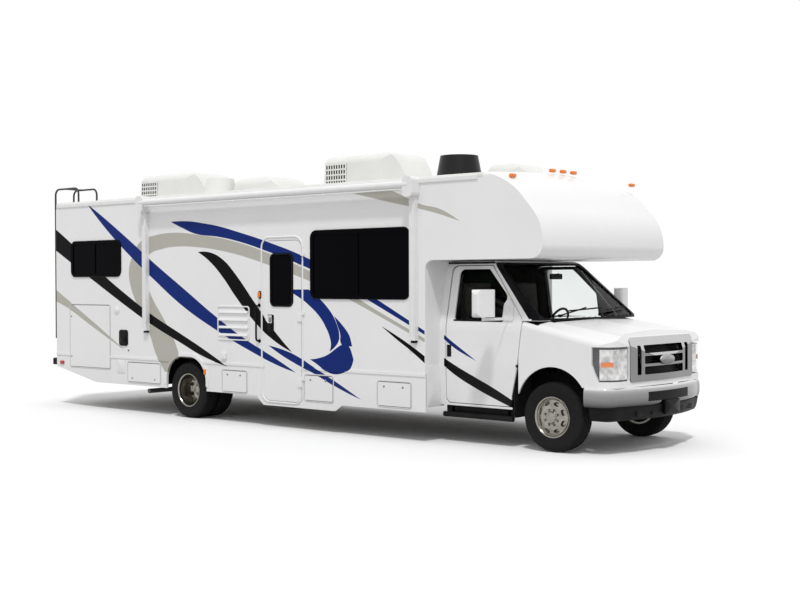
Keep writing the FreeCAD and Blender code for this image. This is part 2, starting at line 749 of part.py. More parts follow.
def storage_bin(name, key):
    """The five boards of a box behind a storage door, hung from the floor a hair behind the panel."""
    x0, x1, z0, z1 = LOCKERS[key]
    wall, rim, hair = size("bin_wall"), size("bin_rim"), size("seat_gap")
    x, low = (fore(x0) - wall, fore(x1) + wall), size(z0) - wall
    front = SKIRT_Y[1] + "seat_gap"
    back = front + "bin_depth"
    y = (front, back - wall - hair)
    over, under = size(z1) - rim, size(z0) + rim
    roof = block(name + "_roof", x, (front, back), (over, BELT))
    hanger = block(name + "_hanger", x, (-INSIDE, back), (BELT - wall, FLOOR_UNDER))
    ends = [block(f"{name}_end_{i + 1}", across, y, (under + hair, over - hair))
            for i, across in enumerate(((x[0], fore(x0) + rim), (fore(x1) - rim, x[1])))]
    return [fuse(name + "_top", roof, hanger), block(name + "_floor", x, y, (low, under)),
            block(name + "_back", x, (back - wall, back), (low, over - hair)), *ends]


def storage_bins():
    """The boxes behind the low storage doors of both sides."""
    boards = []
    for key in LOCKERS:
        if key == "rear":
            continue
        right = storage_bin(f"bin_{key}", key)
        boards += right
        if key in LEFT_LOCKERS:
            boards += [mirrored(f"left_bin_{key}_board_{i + 1}", board) for i, board in enumerate(right)]
    return apart("storage_boards", *boards)


REAR_BIN_X = (fore(LOCKERS["rear"][0]) - "bin_wall", fore(LOCKERS["rear"][1]) + "bin_wall")
REAR_BIN_Y = size("frame_half_width") + 60


def coach_floor():
    """The floor, with the rear storage wells cut through it and the entry steps let into it."""
    slab = block("floor_slab", (COACH_BACK, FRONT_WALL_X[0]), (-INSIDE, INSIDE), (FLOOR_UNDER, "floor_top"))
    well_y = (-INSIDE - 1, -size("step_inner"))
    wall, gap = size("bin_wall"), size("seat_gap")
    slab_z = (FLOOR_UNDER - 1, size("floor_top") + 1)
    holes = [block("entry_well_hole", DOOR_X, well_y, slab_z)]
    bins = []
    for side, name in ((-1, "right"), (1, "left")):
        y = (-INSIDE, -REAR_BIN_Y) if side < 0 else (REAR_BIN_Y, INSIDE)
        x, z = REAR_BIN_X, (size(LOCKERS["rear"][2]) - wall, size(LOCKERS["rear"][3]) + wall)
        box = block(f"{name}_rear_bin", x, y, z)
        open_y = (y[0] - 1, y[1] - wall) if side < 0 else (y[0] + wall, y[1] + 1)
        rim = size("bin_rim") + wall
        hollow = block(f"{name}_rear_bin_inside", (x[0] + rim, x[1] - rim), open_y, (z[0] + rim, z[1] - rim))
        bins.append(cut(f"{name}_rear_bin_shell", box, hollow))
        well = (y[0] - 1, y[1] + gap) if side < 0 else (y[0] - gap, y[1] + 1)
        holes.append(block(f"{name}_rear_well", (x[0] - gap, x[1] + gap), well, slab_z))
    floor = cut("floor_with_wells", slab, *holes)
    return apart("floor_bins_and_steps", floor, *bins, entry_steps())


def entry_steps():
    """Two folded treads between side cheeks, hung from the floor down to the sill of the entry door."""
    top, sheet_wall = size("floor_top"), size("bin_wall")
    inner, sill = -size("step_inner"), DOOR_Z[0] + 2
    rise = (top - sill) / 3
    going = (INSIDE + inner) / 2
    y0 = -INSIDE + 2
    tread, riser = sill + rise * 1.5, y0 + going
    steps = [(y0, sill), (y0, sill + sheet_wall), (riser - 10, sill + sheet_wall), (riser - 10, tread),
             (inner - 10, tread), (inner - 10, top), (inner + 2, top), (inner + 2, tread - sheet_wall),
             (riser, tread - sheet_wall), (riser, sill)]
    treads = plate("entry_treads", "YZ", steps, DOOR_X[0], DOOR_X[1])
    cheek = [(y0, sill), (inner, sill), (inner, FLOOR_UNDER), (y0, FLOOR_UNDER)]
    cheeks = [plate(f"entry_cheek_{i + 1}", "YZ", cheek, x - sheet_wall / 2, x + sheet_wall / 2)
              for i, x in enumerate((DOOR_X[0] - sheet_wall / 2, DOOR_X[1] + sheet_wall / 2))]
    return fuse("entry_steps_solid", treads, *cheeks)


def rear_wall():
    low, notch = size("skirt_rear"), size("frame_half_width") + 60
    points = [(-INSIDE, low), (-notch, low), (-notch, FRAME_LOW + 90, 20), (notch, FRAME_LOW + 90, 20), (notch, low),
              (INSIDE, low), (INSIDE, WALL_TOP), (-INSIDE, WALL_TOP)]
    return plate("rear_wall_panel", "YZ", points, REAR_WALL, COACH_BACK)


def roof_section(inset=0):
    """Half-round edges and a shallow crown, across the coach."""
    w, edge = OUTSIDE - inset, WALL_TOP + "roof_edge" - inset
    return [(-w, WALL_TOP), (-w, edge, 45), (0, edge + "roof_crown", 14000), (w, edge, 45), (w, WALL_TOP)]


def coach_roof():
    solid = plate("roof_form", "YZ", roof_section(), REAR_WALL, CAP_ROOF)
    lower = [(REAR_WALL - 5, WALL_TOP - 5), (REAR_WALL - 5, WALL_TOP + 200), (REAR_WALL + 6, WALL_TOP + 200),
             (REAR_WALL + 6, WALL_TOP - 5)]
    rear_trim = plate("roof_rear_trim", "XZ", lower, -OUTSIDE - 5, OUTSIDE + 5)
    return cut("roof", solid, rear_trim)


def cab_bulkhead():
    """The coach's front wall with its way through to the cab, and the bunk floor over the cab."""
    wall = plate("front_wall_sheet", "YZ", [(-INSIDE, FLOOR_UNDER), (INSIDE, FLOOR_UNDER), (INSIDE, BUNK_LOW),
                                              (-INSIDE, BUNK_LOW)],
                 *FRONT_WALL_X)
    way = plate("front_wall_way", "YZ", rectangle((-720, 720), ("floor_top", BUNK_LOW - 60), 80),
                FRONT_WALL_X[0] - 5, FRONT_WALL_X[1] + 5)
    bunk = block("bunk_floor", (FRONT_WALL_X[0], CAP_SEAM), (-INSIDE, INSIDE), (BUNK_LOW, BUNK_TOP))
    return fuse("bulkhead", cut("front_wall_panel", wall, way), bunk)


def cap_form(name, inset):
    """The cap's body: its side profile turned about an upright axis far behind it, held between the side planes."""
    nose = fore("cap_nose") - inset
    low = BUNK_LOW + inset
    back = CAP_ROOF - 400
    top = WALL_TOP + "roof_edge" + "roof_crown" + 20 - inset
    points = [(back, low), (nose, low, 150), (nose, 2420, 520), (nose - 380, 2865, 800), (nose - 880, top),
              (back, top)]
    radius = size("cap_bow_radius")
    drawn = outline(name + "_profile", "XZ", points)
    turn = doc.addObject("Part::Revolution", name + "_bow")
    turn.Source = drawn
    turn.Axis = Vector(0, 0, 1)
    turn.Angle = 44
    turn.Symmetric = True
    turn.Solid = True
    bind(turn, "Base.x", fore("cap_nose") - radius)
    section = [(u, v if v.value > 2950 else BUNK_LOW, *r) for u, v, *r in
               [(size(p[0]), size(p[1]), *p[2:]) for p in roof_section(inset)]]
    slab = plate(name + "_slab", "YZ", section, fore(-1400), fore(500))
    return common(name, turn, slab)


def front_cap():
    ahead = seam() + [(CAP_ROOF, 3200), (fore(600), 3200), (fore(600), BUNK_LOW)]
    region = plate("cap_region", "XZ", ahead, -OUTSIDE - 5, OUTSIDE + 5)
    skin = cut("cap_skin", cap_form("cap_outer", size(0)), cap_form("cap_inner", size("cap_wall")))
    return common("cap", skin, region)


def window_unit(name, row):
    """A window frame with its divider and panes, set in the passenger side wall."""
    x, z, middle = span(row), (size(row[2]), size(row[3])), fore(row[4])
    proud, trim = -OUTSIDE - "window_proud", 26
    rim = rectangle((x[0] - 14, x[1] + 14), (z[0] - 14, z[1] + 14), 84)
    outer = plate(name + "_frame_outer", "XZ", rim, proud, -OUTSIDE)
    sight = rectangle((x[0] + trim, x[1] - trim), (z[0] + trim, z[1] - trim), 44)
    inner = plate(name + "_frame_hole", "XZ", sight, proud - 5, -OUTSIDE + 5)
    bar = block(name + "_divider", (middle - 15, middle + 15), (proud, -OUTSIDE), (z[0], z[1]))
    pane = plate(name + "_pane", "XZ", rectangle(x, z, "window_corner"), -OUTSIDE, "glass_thickness" - OUTSIDE)
    return fuse(name, cut(name + "_frame", outer, inner), bar, pane)


def coach_windows():
    right = [window_unit(f"{key}_window", row) for key, row in WINDOWS.items()]
    left = [mirrored(f"left_window_{i + 1}", window) for i, window in enumerate(right)]
    return apart("window_units", *right, *left)


def entry_door():
    gap = size("door_gap")
    face_x, face_z = (DOOR_X[0] + gap, DOOR_X[1] - gap), (DOOR_Z[0] + gap, DOOR_Z[1] - gap)
    leaf = rectangle(face_x, face_z, size("door_corner") - gap)
    panel = plate("entry_panel", "XZ", leaf, DOOR_FACE, STOP_FACE - "seat_gap")
    hole = plate("entry_window_hole", "XZ", rectangle(*DOOR_WINDOW, 60), DOOR_FACE - 5, DOOR_FACE + 50)
    barrels = []
    for i, z in enumerate(HINGE_HEIGHTS):
        barrels.append(rod(f"entry_hinge_{i + 1}", 8, "Z", (HINGE_X, HINGE_Y, z), 80))
        leaf_x, leaf_y = (DOOR_X[1] - 60, HINGE_X), (HINGE_Y - 3, DOOR_FACE)
        barrels.append(block(f"entry_hinge_leaf_{i + 1}", leaf_x, leaf_y, (z, z + 80)))
    pull = block("entry_handle", (DOOR_X[0] + 45, DOOR_X[0] + 150), (DOOR_FACE - 12, DOOR_FACE), (1205, 1395))
    return fuse("entry_door_solid", cut("entry_door_panel", panel, hole), pull, *barrels)


def entry_glass():
    return plate("entry_pane", "XZ", rectangle(*DOOR_WINDOW, 60), DOOR_FACE + 6, DOOR_FACE + 12)


def locker_door(name, key):
    x0, x1, z0, z1 = LOCKERS[key]
    gap = size("storage_gap")
    x, z = (fore(x0) + gap, fore(x1) - gap), (size(z0) + gap, size(z1) - gap)
    inner = -INSIDE if key == "rear" else SKIRT_Y[1]
    return plate(name, "XZ", rectangle(x, z, 18), -OUTSIDE - 6, inner - "seat_gap")


def lockers():
    for key in LOCKERS:
        right = node(f"right_locker_{key}", locker_door(f"locker_panel_{key}", key))
        if key in LEFT_LOCKERS:
            node(f"left_locker_{key}", mirrored(f"left_locker_panel_{key}", right))


def awning():
    """The rolled awning on its two arms along the passenger side."""
    arms = []
    for name, x in (("rear", fore(-6486)), ("front", fore(-1663))):
        arms.append(block(f"awning_{name}_arm", (x - 40, x + 40), (-OUTSIDE - 62, -OUTSIDE), (1150, 2760)))
        head = rectangle((x - 70, x + 70), (2760, 2990), 50)
        arms.append(plate(f"awning_{name}_head", "XZ", head, -OUTSIDE - 145, -OUTSIDE))
    tube = rod("awning_roll", 45, "X", (fore(-6486), -OUTSIDE - 105, 2900), 4823)
    return fuse("awning_solid", tube, *arms)


ROOF_TOP = WALL_TOP + "roof_edge" + "roof_crown"


def shroud(name, x, width, high, fall, nose):
    """A rounded roof housing: its side outline, its section and its plan, narrower towards the front."""
    low, w, tip = ROOF_TOP - 40, width / 2, width / 2 - nose
    flank = [(x[0], low), (x[0] + 35, high, 70), (x[1] - fall, high, 260), (x[1], low + 60, 40), (x[1], low)]
    side = plate(name + "_side", "XZ", flank, -w, w)
    section = plate(name + "_section", "YZ", [(-w, low), (15 - w, high, 110), (w - 15, high, 110), (w, low)], *x)
    plan = [(x[0], -w, 30), (x[1] - fall - 200, -w, 300), (x[1], -tip, 120), (x[1], tip, 120),
            (x[1] - fall - 200, w, 300), (x[0], w, 30)]
    return common(name, side, section, plate(name + "_plan", "XY", plan, low, high))


def cone(name, low_radius, high_radius, x, y, z):
    """An upright tapered drum between two heights."""
    made = doc.addObject("Part::Cone", name)
    bind(made, "Radius1", low_radius)
    bind(made, "Radius2", high_radius)
    bind(made, "Height", z[1] - z[0])
    place(made, x, y, z[0])
    return made


def roof_units():
    """Two air conditioners, a low box and dome between them, a tapered drum and a front vent on the roof."""
    low = ROOF_TOP - 60
    pieces = [shroud("rear_cooler", (fore(-7820), fore(-6350)), size(700), size(3400), size(260), size(90)),
              shroud("front_cooler", (fore(-3990), fore(-2600)), size(700), size(3430), size(240), size(90)),
              shroud("roof_box", (fore(-5760), fore(-4930)), size(660), size(3250), size(80), size(30)),
              cone("roof_dome", size(250), size(190), fore(-6060), -300, (low, size(3262))),
              cone("roof_drum", size(285), size(225), fore(-1785), -300, (low, size(3300))),
              shroud("front_vent", (fore(-1410), fore(-900)), size(520), size(3180), size(60), size(20))]
    under = plate("roof_under_units", "YZ", roof_section(), REAR_WALL, CAP_ROOF)
    return cut("roof_units_solid", apart("roof_pieces", *pieces), under)


def ladder():
    """Two rails hooped over onto the roof, their rungs and their feet on the rear wall."""
    radius = size("ladder_tube")
    rung = radius - 2
    x = radius - size("overall_length") / 2
    outer, inner = -OUTSIDE + 85, -OUTSIDE + 405
    pieces = []
    for name, y in (("outer", outer), ("inner", inner)):
        route = [(x, 980), (x, 3200, 90), (REAR_WALL + 450, 3200, 90), (REAR_WALL + 450, WALL_TOP + 20)]
        pieces.append(sweep(f"ladder_{name}_rail", "XZ", y, route, radius))
    for i, z in enumerate((1100, 1470, 1850, 2230, 2610)):
        pieces.append(rod(f"ladder_rung_{i + 1}", rung, "Y", (x, outer, z), inner - outer))
        for name, y in (("outer", outer), ("inner", inner)):
            if i in (0, 2, 4):
                pieces.append(rod(f"ladder_{name}_foot_{i + 1}", 9, "X", (x, y, z + 60), REAR_WALL - x))
    pieces.append(rod("ladder_top_rung", rung, "Y", (REAR_WALL + 100, outer, 3200), inner - outer))
    under = plate("roof_under_ladder", "YZ", roof_section(), REAR_WALL + 300, REAR_WALL + 600)
    return cut("ladder_solid", fuse("ladder_tubes", *pieces), under)


def rear_bumper():
    x = REAR_WALL - 130
    section = rectangle((-OUTSIDE + 20, OUTSIDE - 20), (FRAME_LOW - 25, FRAME_LOW + 75), 20)
    bar = plate("rear_bar", "YZ", section, x, x + 90)
    horns = [block(f"bumper_horn_{i + 1}", (x + 80, FRAME_REAR), (y - 30, y + 30), (FRAME_LOW - 10, FRAME_LOW + 60))
             for i, y in enumerate((size("frame_half_width") - 35, 35 - size("frame_half_width")))]
    receiver = block("hitch_receiver", (x - 15, FRAME_REAR + 140), (-32, 32), (FRAME_LOW - 89, FRAME_LOW - 25))
    bore = block("hitch_bore", (x - 25, FRAME_REAR + 100), (-25.6, 25.6), (FRAME_LOW - 82.6, FRAME_LOW - 31.4))
    pin = rod("hitch_pin_bore", 8.2, "Y", (x + 45, -60, FRAME_LOW - 57), 120)
    return cut("rear_bumper_solid", fuse("rear_bar_and_hitch", bar, receiver, *horns), bore, pin)


node("coach_floor", coach_floor())
node("coach_right_wall", right_wall())
node("coach_left_wall", left_wall())
node("coach_rear_wall", rear_wall())
node("coach_roof", coach_roof())
node("cab_bulkhead", cab_bulkhead())
node("front_cap", front_cap())
node("right_skirt", skirt("right_skirt_source", list(LOCKERS), True))
node("left_skirt", mirrored("left_skirt_solid", skirt("left_skirt_source", LEFT_LOCKERS, False)))
node("storage_bins", storage_bins())
node("coach_windows", coach_windows())
node("entry_door", entry_door())
node("entry_glass", entry_glass())
lockers()
node("awning", awning())
node("roof_units", roof_units())
node("ladder", ladder())
node("rear_bumper", rear_bumper())


# Cab
CAB_SIDE = size("cab_half_width")
CAB_LOW = size("cab_low")
CAB_ROOF = size("cab_roof")
NOSE_FRONT = fore(800)
FIREWALL = fore(-478)
SCREEN_FOOT = fore(-100)
CAB_HINGE_X = fore(-456)
CAB_HINGE_Y = CAB_SIDE + 2
CAB_HINGE_Z = size(880)


def cab_section(inset, low):
    """The cab's leaning sides and its roof, looking along it."""
    w = CAB_SIDE - inset
    top, roof = w - "cab_lean", CAB_ROOF - inset
    return [(-w + 15, low), (-w, 880, 1500), (-w, 1310, 500), (-top, roof, 120), (top, roof, 120), (w, 1310, 500),
            (w, 880, 1500), (w - 15, low)]


def side_layer(name, outer, inner):
    """The material of the cab's sides between two depths, along the whole cab."""
    x = (COACH_FRONT - 100, fore(100))
    skin = plate(name + "_outer", "YZ", cab_section(outer, CAB_LOW - 30), *x)
    core = plate(name + "_inner", "YZ", cab_section(inner, CAB_LOW - 60), x[0] - 10, x[1] + 10)
    return cut(name, skin, core)


def greenhouse_form(name, inset):
    """The cab behind the hood: its side outline, bowed in plan about an upright axis, within its leaning sides."""
    back, low = COACH_FRONT - 400, CAB_LOW - 30
    inset = size(inset)
    roof = CAB_ROOF - inset
    points = [(back, low), (SCREEN_FOOT - inset, low), (SCREEN_FOOT - inset, size(1423) - inset, 30),
              (fore(-803) - inset * 1.4, roof, 110), (back, roof)]
    drawn = outline(name + "_profile", "XZ", points)
    turn = doc.addObject("Part::Revolution", name + "_bow")
    turn.Source = drawn
    turn.Axis = Vector(0, 0, 1)
    turn.Angle = 50
    turn.Symmetric = True
    turn.Solid = True
    bind(turn, "Base.x", SCREEN_FOOT - 7000)
    return common(name, turn, plate(name + "_section", "YZ", cab_section(inset, low), back - 50, fore(100)))


def nose_form(name, inset):
    """The hood and fenders: two sections joined by a loft, held inside the side and plan outlines of the nose."""
    inset = size(inset)
    w = CAB_SIDE - inset
    sections = []
    for i, (x, shoulder, edge, crown) in enumerate(((-430, 1395, 1425, 1434), (830, 1115, 1222, 1266))):
        half = [(-w, 300), (-w, shoulder - inset, 80), (-w * 0.78, edge - inset, 240), (0, crown - inset, 4000)]
        other = [(w * 0.78, edge - inset, 240), (w, shoulder - inset, 80), (w, 300)]
        sections.append(outline(f"{name}_section_{i + 1}", "YZ", half + other, fore(x)))
    body = doc.addObject("Part::Loft", name + "_loft")
    body.Sections = sections
    body.Solid = True
    body.Ruled = True
    front = NOSE_FRONT - inset
    side = [(fore(-440), 300), (fore(-440), 1500), (fore(400), 1500), (front - 105, 1280 - inset, 60),
            (front, 965, 420), (front, 300)]
    plan = [(fore(-440), -w), (front - 85, -w, 200), (front, 0, 2600), (front - 85, w, 200), (fore(-440), w)]
    limits = common(name + "_limits", plate(name + "_side", "XZ", side, -w - 10, w + 10),
                    plate(name + "_plan", "XY", plan, 290, 1510))
    return common(name, body, limits)


def door_front_edge(inset=0):
    inset = size(inset)
    return [(fore(-522) - inset, 560, 80), (fore(-447) - inset, 880, 500), (fore(-377) - inset, 1395, 120)]


def cab_door_outline(inset=0):
    """The cab door seen from the side; its opening is the same outline without the inset."""
    inset = size(inset)
    rear = fore(-1438) + inset
    front = door_front_edge(inset)
    top = size(1993) - inset
    return [(rear, CAB_LOW + 24 + inset, 66), (rear + inset * 1.5, top, 76), (fore(-862) - inset * 1.3, top, 56),
            (front[2][0] - inset * 0.3, *front[2][1:]), front[1], front[0],
            (fore(-522) - inset, CAB_LOW + 24 + inset, 40)]


def side_prism(name, points, side=0):
    """An outline seen from the side carried across the cab, or across one half of it."""
    reach = CAB_SIDE + 120
    low, high = {0: (-reach, reach), -1: (-reach, size(-560)), 1: (size(560), reach)}[side]
    return plate(name, "XZ", points, low, high)


def front_prism(name, points, back, front):
    return plate(name, "YZ", points, fore(back), fore(front))


WINDSHIELD = [(-950, 1408, 60), (-796, 1996, 80), (796, 1996, 80), (950, 1408, 60)]
DOOR_GLASS = [(-1322, 1378, 30), (-1322, 1948, 60), (-905, 1948, 30), (-622, 1660, 60), (-622, 1378, 20)]


def side_outline(points):
    return [(fore(p[0]), *p[1:]) for p in points]


def cab_shell():
    skin = cut("cab_skin", greenhouse_form("cab_outer", 0), greenhouse_form("cab_inner", "cab_wall"))
    sill_top = CAB_LOW + 24
    region = [(COACH_FRONT, CAB_LOW), (fore(-522), CAB_LOW), (fore(-522), sill_top), (fore(-570), sill_top),
              (fore(-400), 1385), (fore(-60), 1385), (fore(-60), 2100), (COACH_FRONT, 2100)]
    kept = common("cab_skin_kept", skin, side_prism("cab_region", region))
    doors = side_prism("cab_door_openings", cab_door_outline())
    screen = front_prism("windshield_opening", WINDSHIELD, -1000, 0)
    return cut("cab_shell_solid", kept, doors, screen)


def windshield():
    pane = cut("screen_layer", greenhouse_form("screen_outer", 8), greenhouse_form("screen_inner", 14))
    return common("windshield_solid", pane, front_prism("screen_prism", WINDSHIELD, -1000, 0))


def cab_door(side, name):
    """One cab door with its window cut out."""
    layer = side_layer(f"{name}_layer", size(0), "door_thickness")
    leaf = common(f"{name}_leaf", layer, side_prism(f"{name}_prism", cab_door_outline("panel_gap"), side))
    leaf = cut(f"{name}_with_window", leaf, side_prism(f"{name}_window", side_outline(DOOR_GLASS), side))
    y, z = CAB_HINGE_Y * side, CAB_HINGE_Z
    near = (y - 8 * side, y) if side > 0 else (y, y - 8 * side)
    deep = (y - 70 * side, y + 10 * side) if side > 0 else (y + 10 * side, y - 70 * side)
    room = block(f"{name}_hinge_room", (CAB_HINGE_X - 14, CAB_HINGE_X + 20), deep, (z - 4, z + 30))
    flange_y = (CAB_SIDE - 640, CAB_SIDE - 205) if side > 0 else (205 - CAB_SIDE, 640 - CAB_SIDE)
    flange = block(f"{name}_roof_flange", (COACH_FRONT, fore(-400)), flange_y, (1940, 2060))
    barrel = rod(f"{name}_barrel", "hinge_radius", "Z", (CAB_HINGE_X, y, z - 16), 16)
    strap = block(f"{name}_strap", (CAB_HINGE_X - 24, CAB_HINGE_X), near, (z - 16, z - 2))
    return fuse(f"{name}_solid", cut(f"{name}_with_room", leaf, room, flange), barrel, strap)


def cab_glass():
    pane = side_layer("door_pane_layer", size(14), size(20))
    return common("door_pane", pane, side_prism("door_pane_prism", side_outline(DOOR_GLASS), -1))


def mirror():
    """The passenger side mirror: its turned head, the arm under it and the sail on the door's window corner."""
    side, x = -size("overall_width") / 2, fore(-600)
    plan = [(x + 88, side + 242, 40), (x + 24, side - 12, 40), (x - 88, side + 16, 40), (x - 24, side + 270, 40)]
    front = plate("mirror_front", "YZ", rectangle((side, side + 280), (1430, 1725), 60), x - 100, x + 100)
    head = common("mirror_head", plate("mirror_plan", "XY", plan, 1400, 1750), front)
    arm = sweep("mirror_arm", "XY", 1406, [(fore(-565), -CAB_SIDE + 60), (fore(-575), -CAB_SIDE - 100, 60),
                                           (x, side + 120)], 15)
    neck = rod("mirror_neck", 19, "Z", (x, side + 130, 1391), 80)
    layer = side_layer("sail_layer", size(-13), size(2))
    sail = [(-648, 1384, 20), (-648, 1560, 40), (-600, 1632, 20), (-525, 1560, 30), (-505, 1384, 20)]
    sail = common("mirror_sail", layer, side_prism("sail_prism", side_outline(sail), -1))
    seat = plate("mirror_seat", "YZ", cab_section(size(-0.3), CAB_LOW), COACH_FRONT, fore(100))
    return cut("mirror_solid", fuse("mirror_and_arm", head, arm, neck, sail), seat)


def clip_region():
    front = door_front_edge()
    return [(fore(-522), CAB_LOW)] + front[:2] + [(fore(-377), 1385), (fore(-377), 1500),
            (fore(900), 1500), (fore(900), "bumper_high"), (fore(300), "bumper_high"), (fore(300), CAB_LOW)]


HOOD_X = (fore(-95), fore(690))
GRILLE = ((-664, 664), (756, 1222))
LAMP = ((676, 1060), (772, 1130))


def hood_prism(name, gap):
    """The hood's outline seen from above; at the front the room round it is wider, where the edge swings forward."""
    w = size("hood_half_width") - gap
    x0, x1 = HOOD_X[0] + gap, HOOD_X[1] - gap * 3
    plan = [(x0, -w, 30), (x1, -w + 90, 60), (x1, w - 90, 60), (x0, w, 30)]
    return plate(name, "XY", plan, 1140 + size(gap), 1500)


def front_clip():
    skin = cut("clip_skin", nose_form("clip_outer", 0), nose_form("clip_inner", "clip_wall"))
    kept = common("clip_kept", skin, side_prism("clip_region", clip_region()))
    reach = CAB_SIDE + 100
    arch = rod("front_arches", "arch_radius" + size(50), "Y", (FRONT_AXLE, -reach, 450), reach * 2)
    grille_hole = front_prism("grille_opening", rectangle(*GRILLE, 40), 500, 900)
    left_lamp = lamp_prism("lamp_opening")
    lamps = [left_lamp, mirrored("right_lamp_opening", left_lamp)]
    foot = plate("clip_cab_band", "XZ", [(fore(-450), 1385), (fore(0), 1385), (fore(0), 1500), (fore(-450), 1500)],
                 -reach, reach)
    cab_room = common("clip_cab_room", greenhouse_form("clip_cab_form", 0), foot)
    body = cut("front_clip_skin", kept, arch, hood_prism("hood_opening", 0), cab_room)
    return cut("front_clip_solid", body, grille_hole, *lamps)


def hood():
    skin = cut("hood_skin", nose_form("hood_outer", 0), nose_form("hood_inner", size("clip_wall") - "seat_gap"))
    return common("hood_solid", skin, hood_prism("hood_region", size("panel_gap") / 2))


def grille():
    """A surround with three rows of openings between upright end bars."""
    layer = cut("grille_layer", nose_form("grille_outer", -10), nose_form("grille_inner", 30))
    plate_solid = common("grille_plate", layer, front_prism("grille_prism", rectangle(*GRILLE, 40), 500, 900))
    rows = [front_prism(f"grille_row_{i + 1}", rectangle((-408, 408), (low, low + 84), 16), 450, 950)
            for i, low in enumerate((826, 938, 1050))]
    ends = [front_prism(f"grille_end_{i + 1}", rectangle(y, (826, 1134), 14), 450, 950)
            for i, y in enumerate(((468, 540), (-540, -468)))]
    return cut("grille_solid", plate_solid, *rows, *ends)


def lamp_prism(name):
    """The driver's side headlamp's room, its lower outer corner cut off."""
    corner = plate(name + "_corner", "XZ", [(fore(480), 975), (fore(480), 700), (fore(602), 700)], 500, 1200)
    return cut(name + "_room", front_prism(name + "_prism", rectangle(*LAMP, 12), 492, 900), corner)


def headlamps():
    layer = cut("lamp_layer", nose_form("lamp_outer", 0), nose_form("lamp_inner", 70))
    left = common("left_lamp", layer, lamp_prism("left_lamp"))
    return apart("lamp_pair", left, mirrored("right_lamp", left))


def front_bumper():
    """The wrapped bumper bar and, under it, the valance with its plate bracket."""
    w, face = size("bumper_half_width"), fore(862)
    low, high = size("bumper_low"), size("bumper_high")
    bar = [(fore(412), -w), (face - 95, -w, 190), (face, 0, 2600), (face - 95, w, 190), (fore(412), w),
           (fore(412), w - 30), (face - 130, w - 30, 160), (face - 55, 0, 2600), (face - 130, -w + 30, 160),
           (fore(412), -w + 30)]
    chrome = plate("bumper_bar", "XY", bar, low, high)
    slot = front_prism("bumper_slot", rectangle((-330, 330), (low + 70, high - 60), 20), 780, 900)
    v = w - 45
    skirt_bar = [(fore(450), -v), (face - 110, -v, 180), (face - 15, 0, 2600), (face - 110, v, 180), (fore(450), v),
                 (fore(450), v - 22), (face - 132, v - 22, 158), (face - 37, 0, 2600), (face - 132, -v + 22, 158),
                 (fore(450), -v + 22)]
    valance = plate("valance", "XY", skirt_bar, low - 145, low)
    bracket = block("plate_bracket", (face - 40, size("overall_length") / 2), (-155, 155), (low - 112, low + 43))
    bolt_holes = [rod(f"plate_bolt_{i + 1}", 3.5, "X", (face - 60, y, low - 34.5 + z), 120)
                  for i, (y, z) in enumerate(((-88.9, -60.3), (88.9, -60.3), (88.9, 60.3), (-88.9, 60.3)))]
    arm_x, arm_z = (fore("frame_front"), face - 60), (FRAME_LOW + 10, high - 5)
    arms = [block(f"bumper_arm_{i + 1}", arm_x, (y - 30, y + 30), arm_z)
            for i, y in enumerate((size("frame_half_width") - 35, 35 - size("frame_half_width")))]
    whole = fuse("bumper_and_valance", chrome, valance, bracket, *arms)
    return cut("front_bumper_solid", whole, slot, *bolt_holes)


def cab_floor():
    """The folded floor with its step at each side, and the firewall."""
    high, low, sheet_wall = FLOOR_UNDER + 28, size(478), 24
    side, step = CAB_SIDE - "door_thickness" - 12, size(700)
    turn = step + sheet_wall
    points = [(side, low), (side, low + sheet_wall), (turn, low + sheet_wall), (turn, high),
              (-turn, high), (-turn, low + sheet_wall), (-side, low + sheet_wall), (-side, low),
              (-step, low), (-step, FLOOR_UNDER), (step, FLOOR_UNDER), (step, low)]
    floor = plate("cab_floor_sheet", "YZ", points, COACH_FRONT, fore(-500))
    neck = side - 36
    firewall = [(side, low), (side, 1130), (neck, 1180), (neck, 1362), (-neck, 1362), (-neck, 1180), (-side, 1130),
                (-side, low), (-step, low), (-step, FLOOR_UNDER), (step, FLOOR_UNDER), (step, low)]
    wall = plate("firewall", "YZ", firewall, fore(-500), FIREWALL)
    bracket = hinge_bracket()
    return fuse("cab_floor_solid", floor, wall, bracket, mirrored("left_hinge_bracket", bracket))


def hinge_bracket():
    """The fixed half of the passenger side door hinge, carried by the firewall through the gap ahead of the door."""
    z = (CAB_HINGE_Z + "seat_gap", CAB_HINGE_Z + 22)
    inner = -CAB_HINGE_Y + 97
    arm = block("hinge_arm", (FIREWALL - 10, CAB_HINGE_X + 10), (inner - 22, inner), z)
    web = block("hinge_web", (CAB_HINGE_X - 2, CAB_HINGE_X + 2), (-CAB_HINGE_Y, inner), z)
    barrel = rod("hinge_barrel", "hinge_radius", "Z", (CAB_HINGE_X, -CAB_HINGE_Y, z[0]), z[1] - z[0])
    return fuse("hinge_bracket", arm, web, barrel)


def seats():
    pieces = []
    for name, y in (("driver", 460), ("passenger", -460)):
        floor = FLOOR_UNDER + 28
        base = block(f"{name}_seat_base", (fore(-1400), fore(-1000)), (y - 190, y + 190), (floor, floor + 160))
        profile = [(fore(-1440), floor + 150, 30), (fore(-1500), floor + 950, 40), (fore(-1390), floor + 970, 40),
                   (fore(-1320), floor + 265, 60), (fore(-985), floor + 280, 50), (fore(-975), floor + 150, 30)]
        pieces.append(fuse(f"{name}_seat", base, plate(f"{name}_cushions", "XZ", profile, y - 250, y + 250)))
    return apart("seat_pair", *pieces)


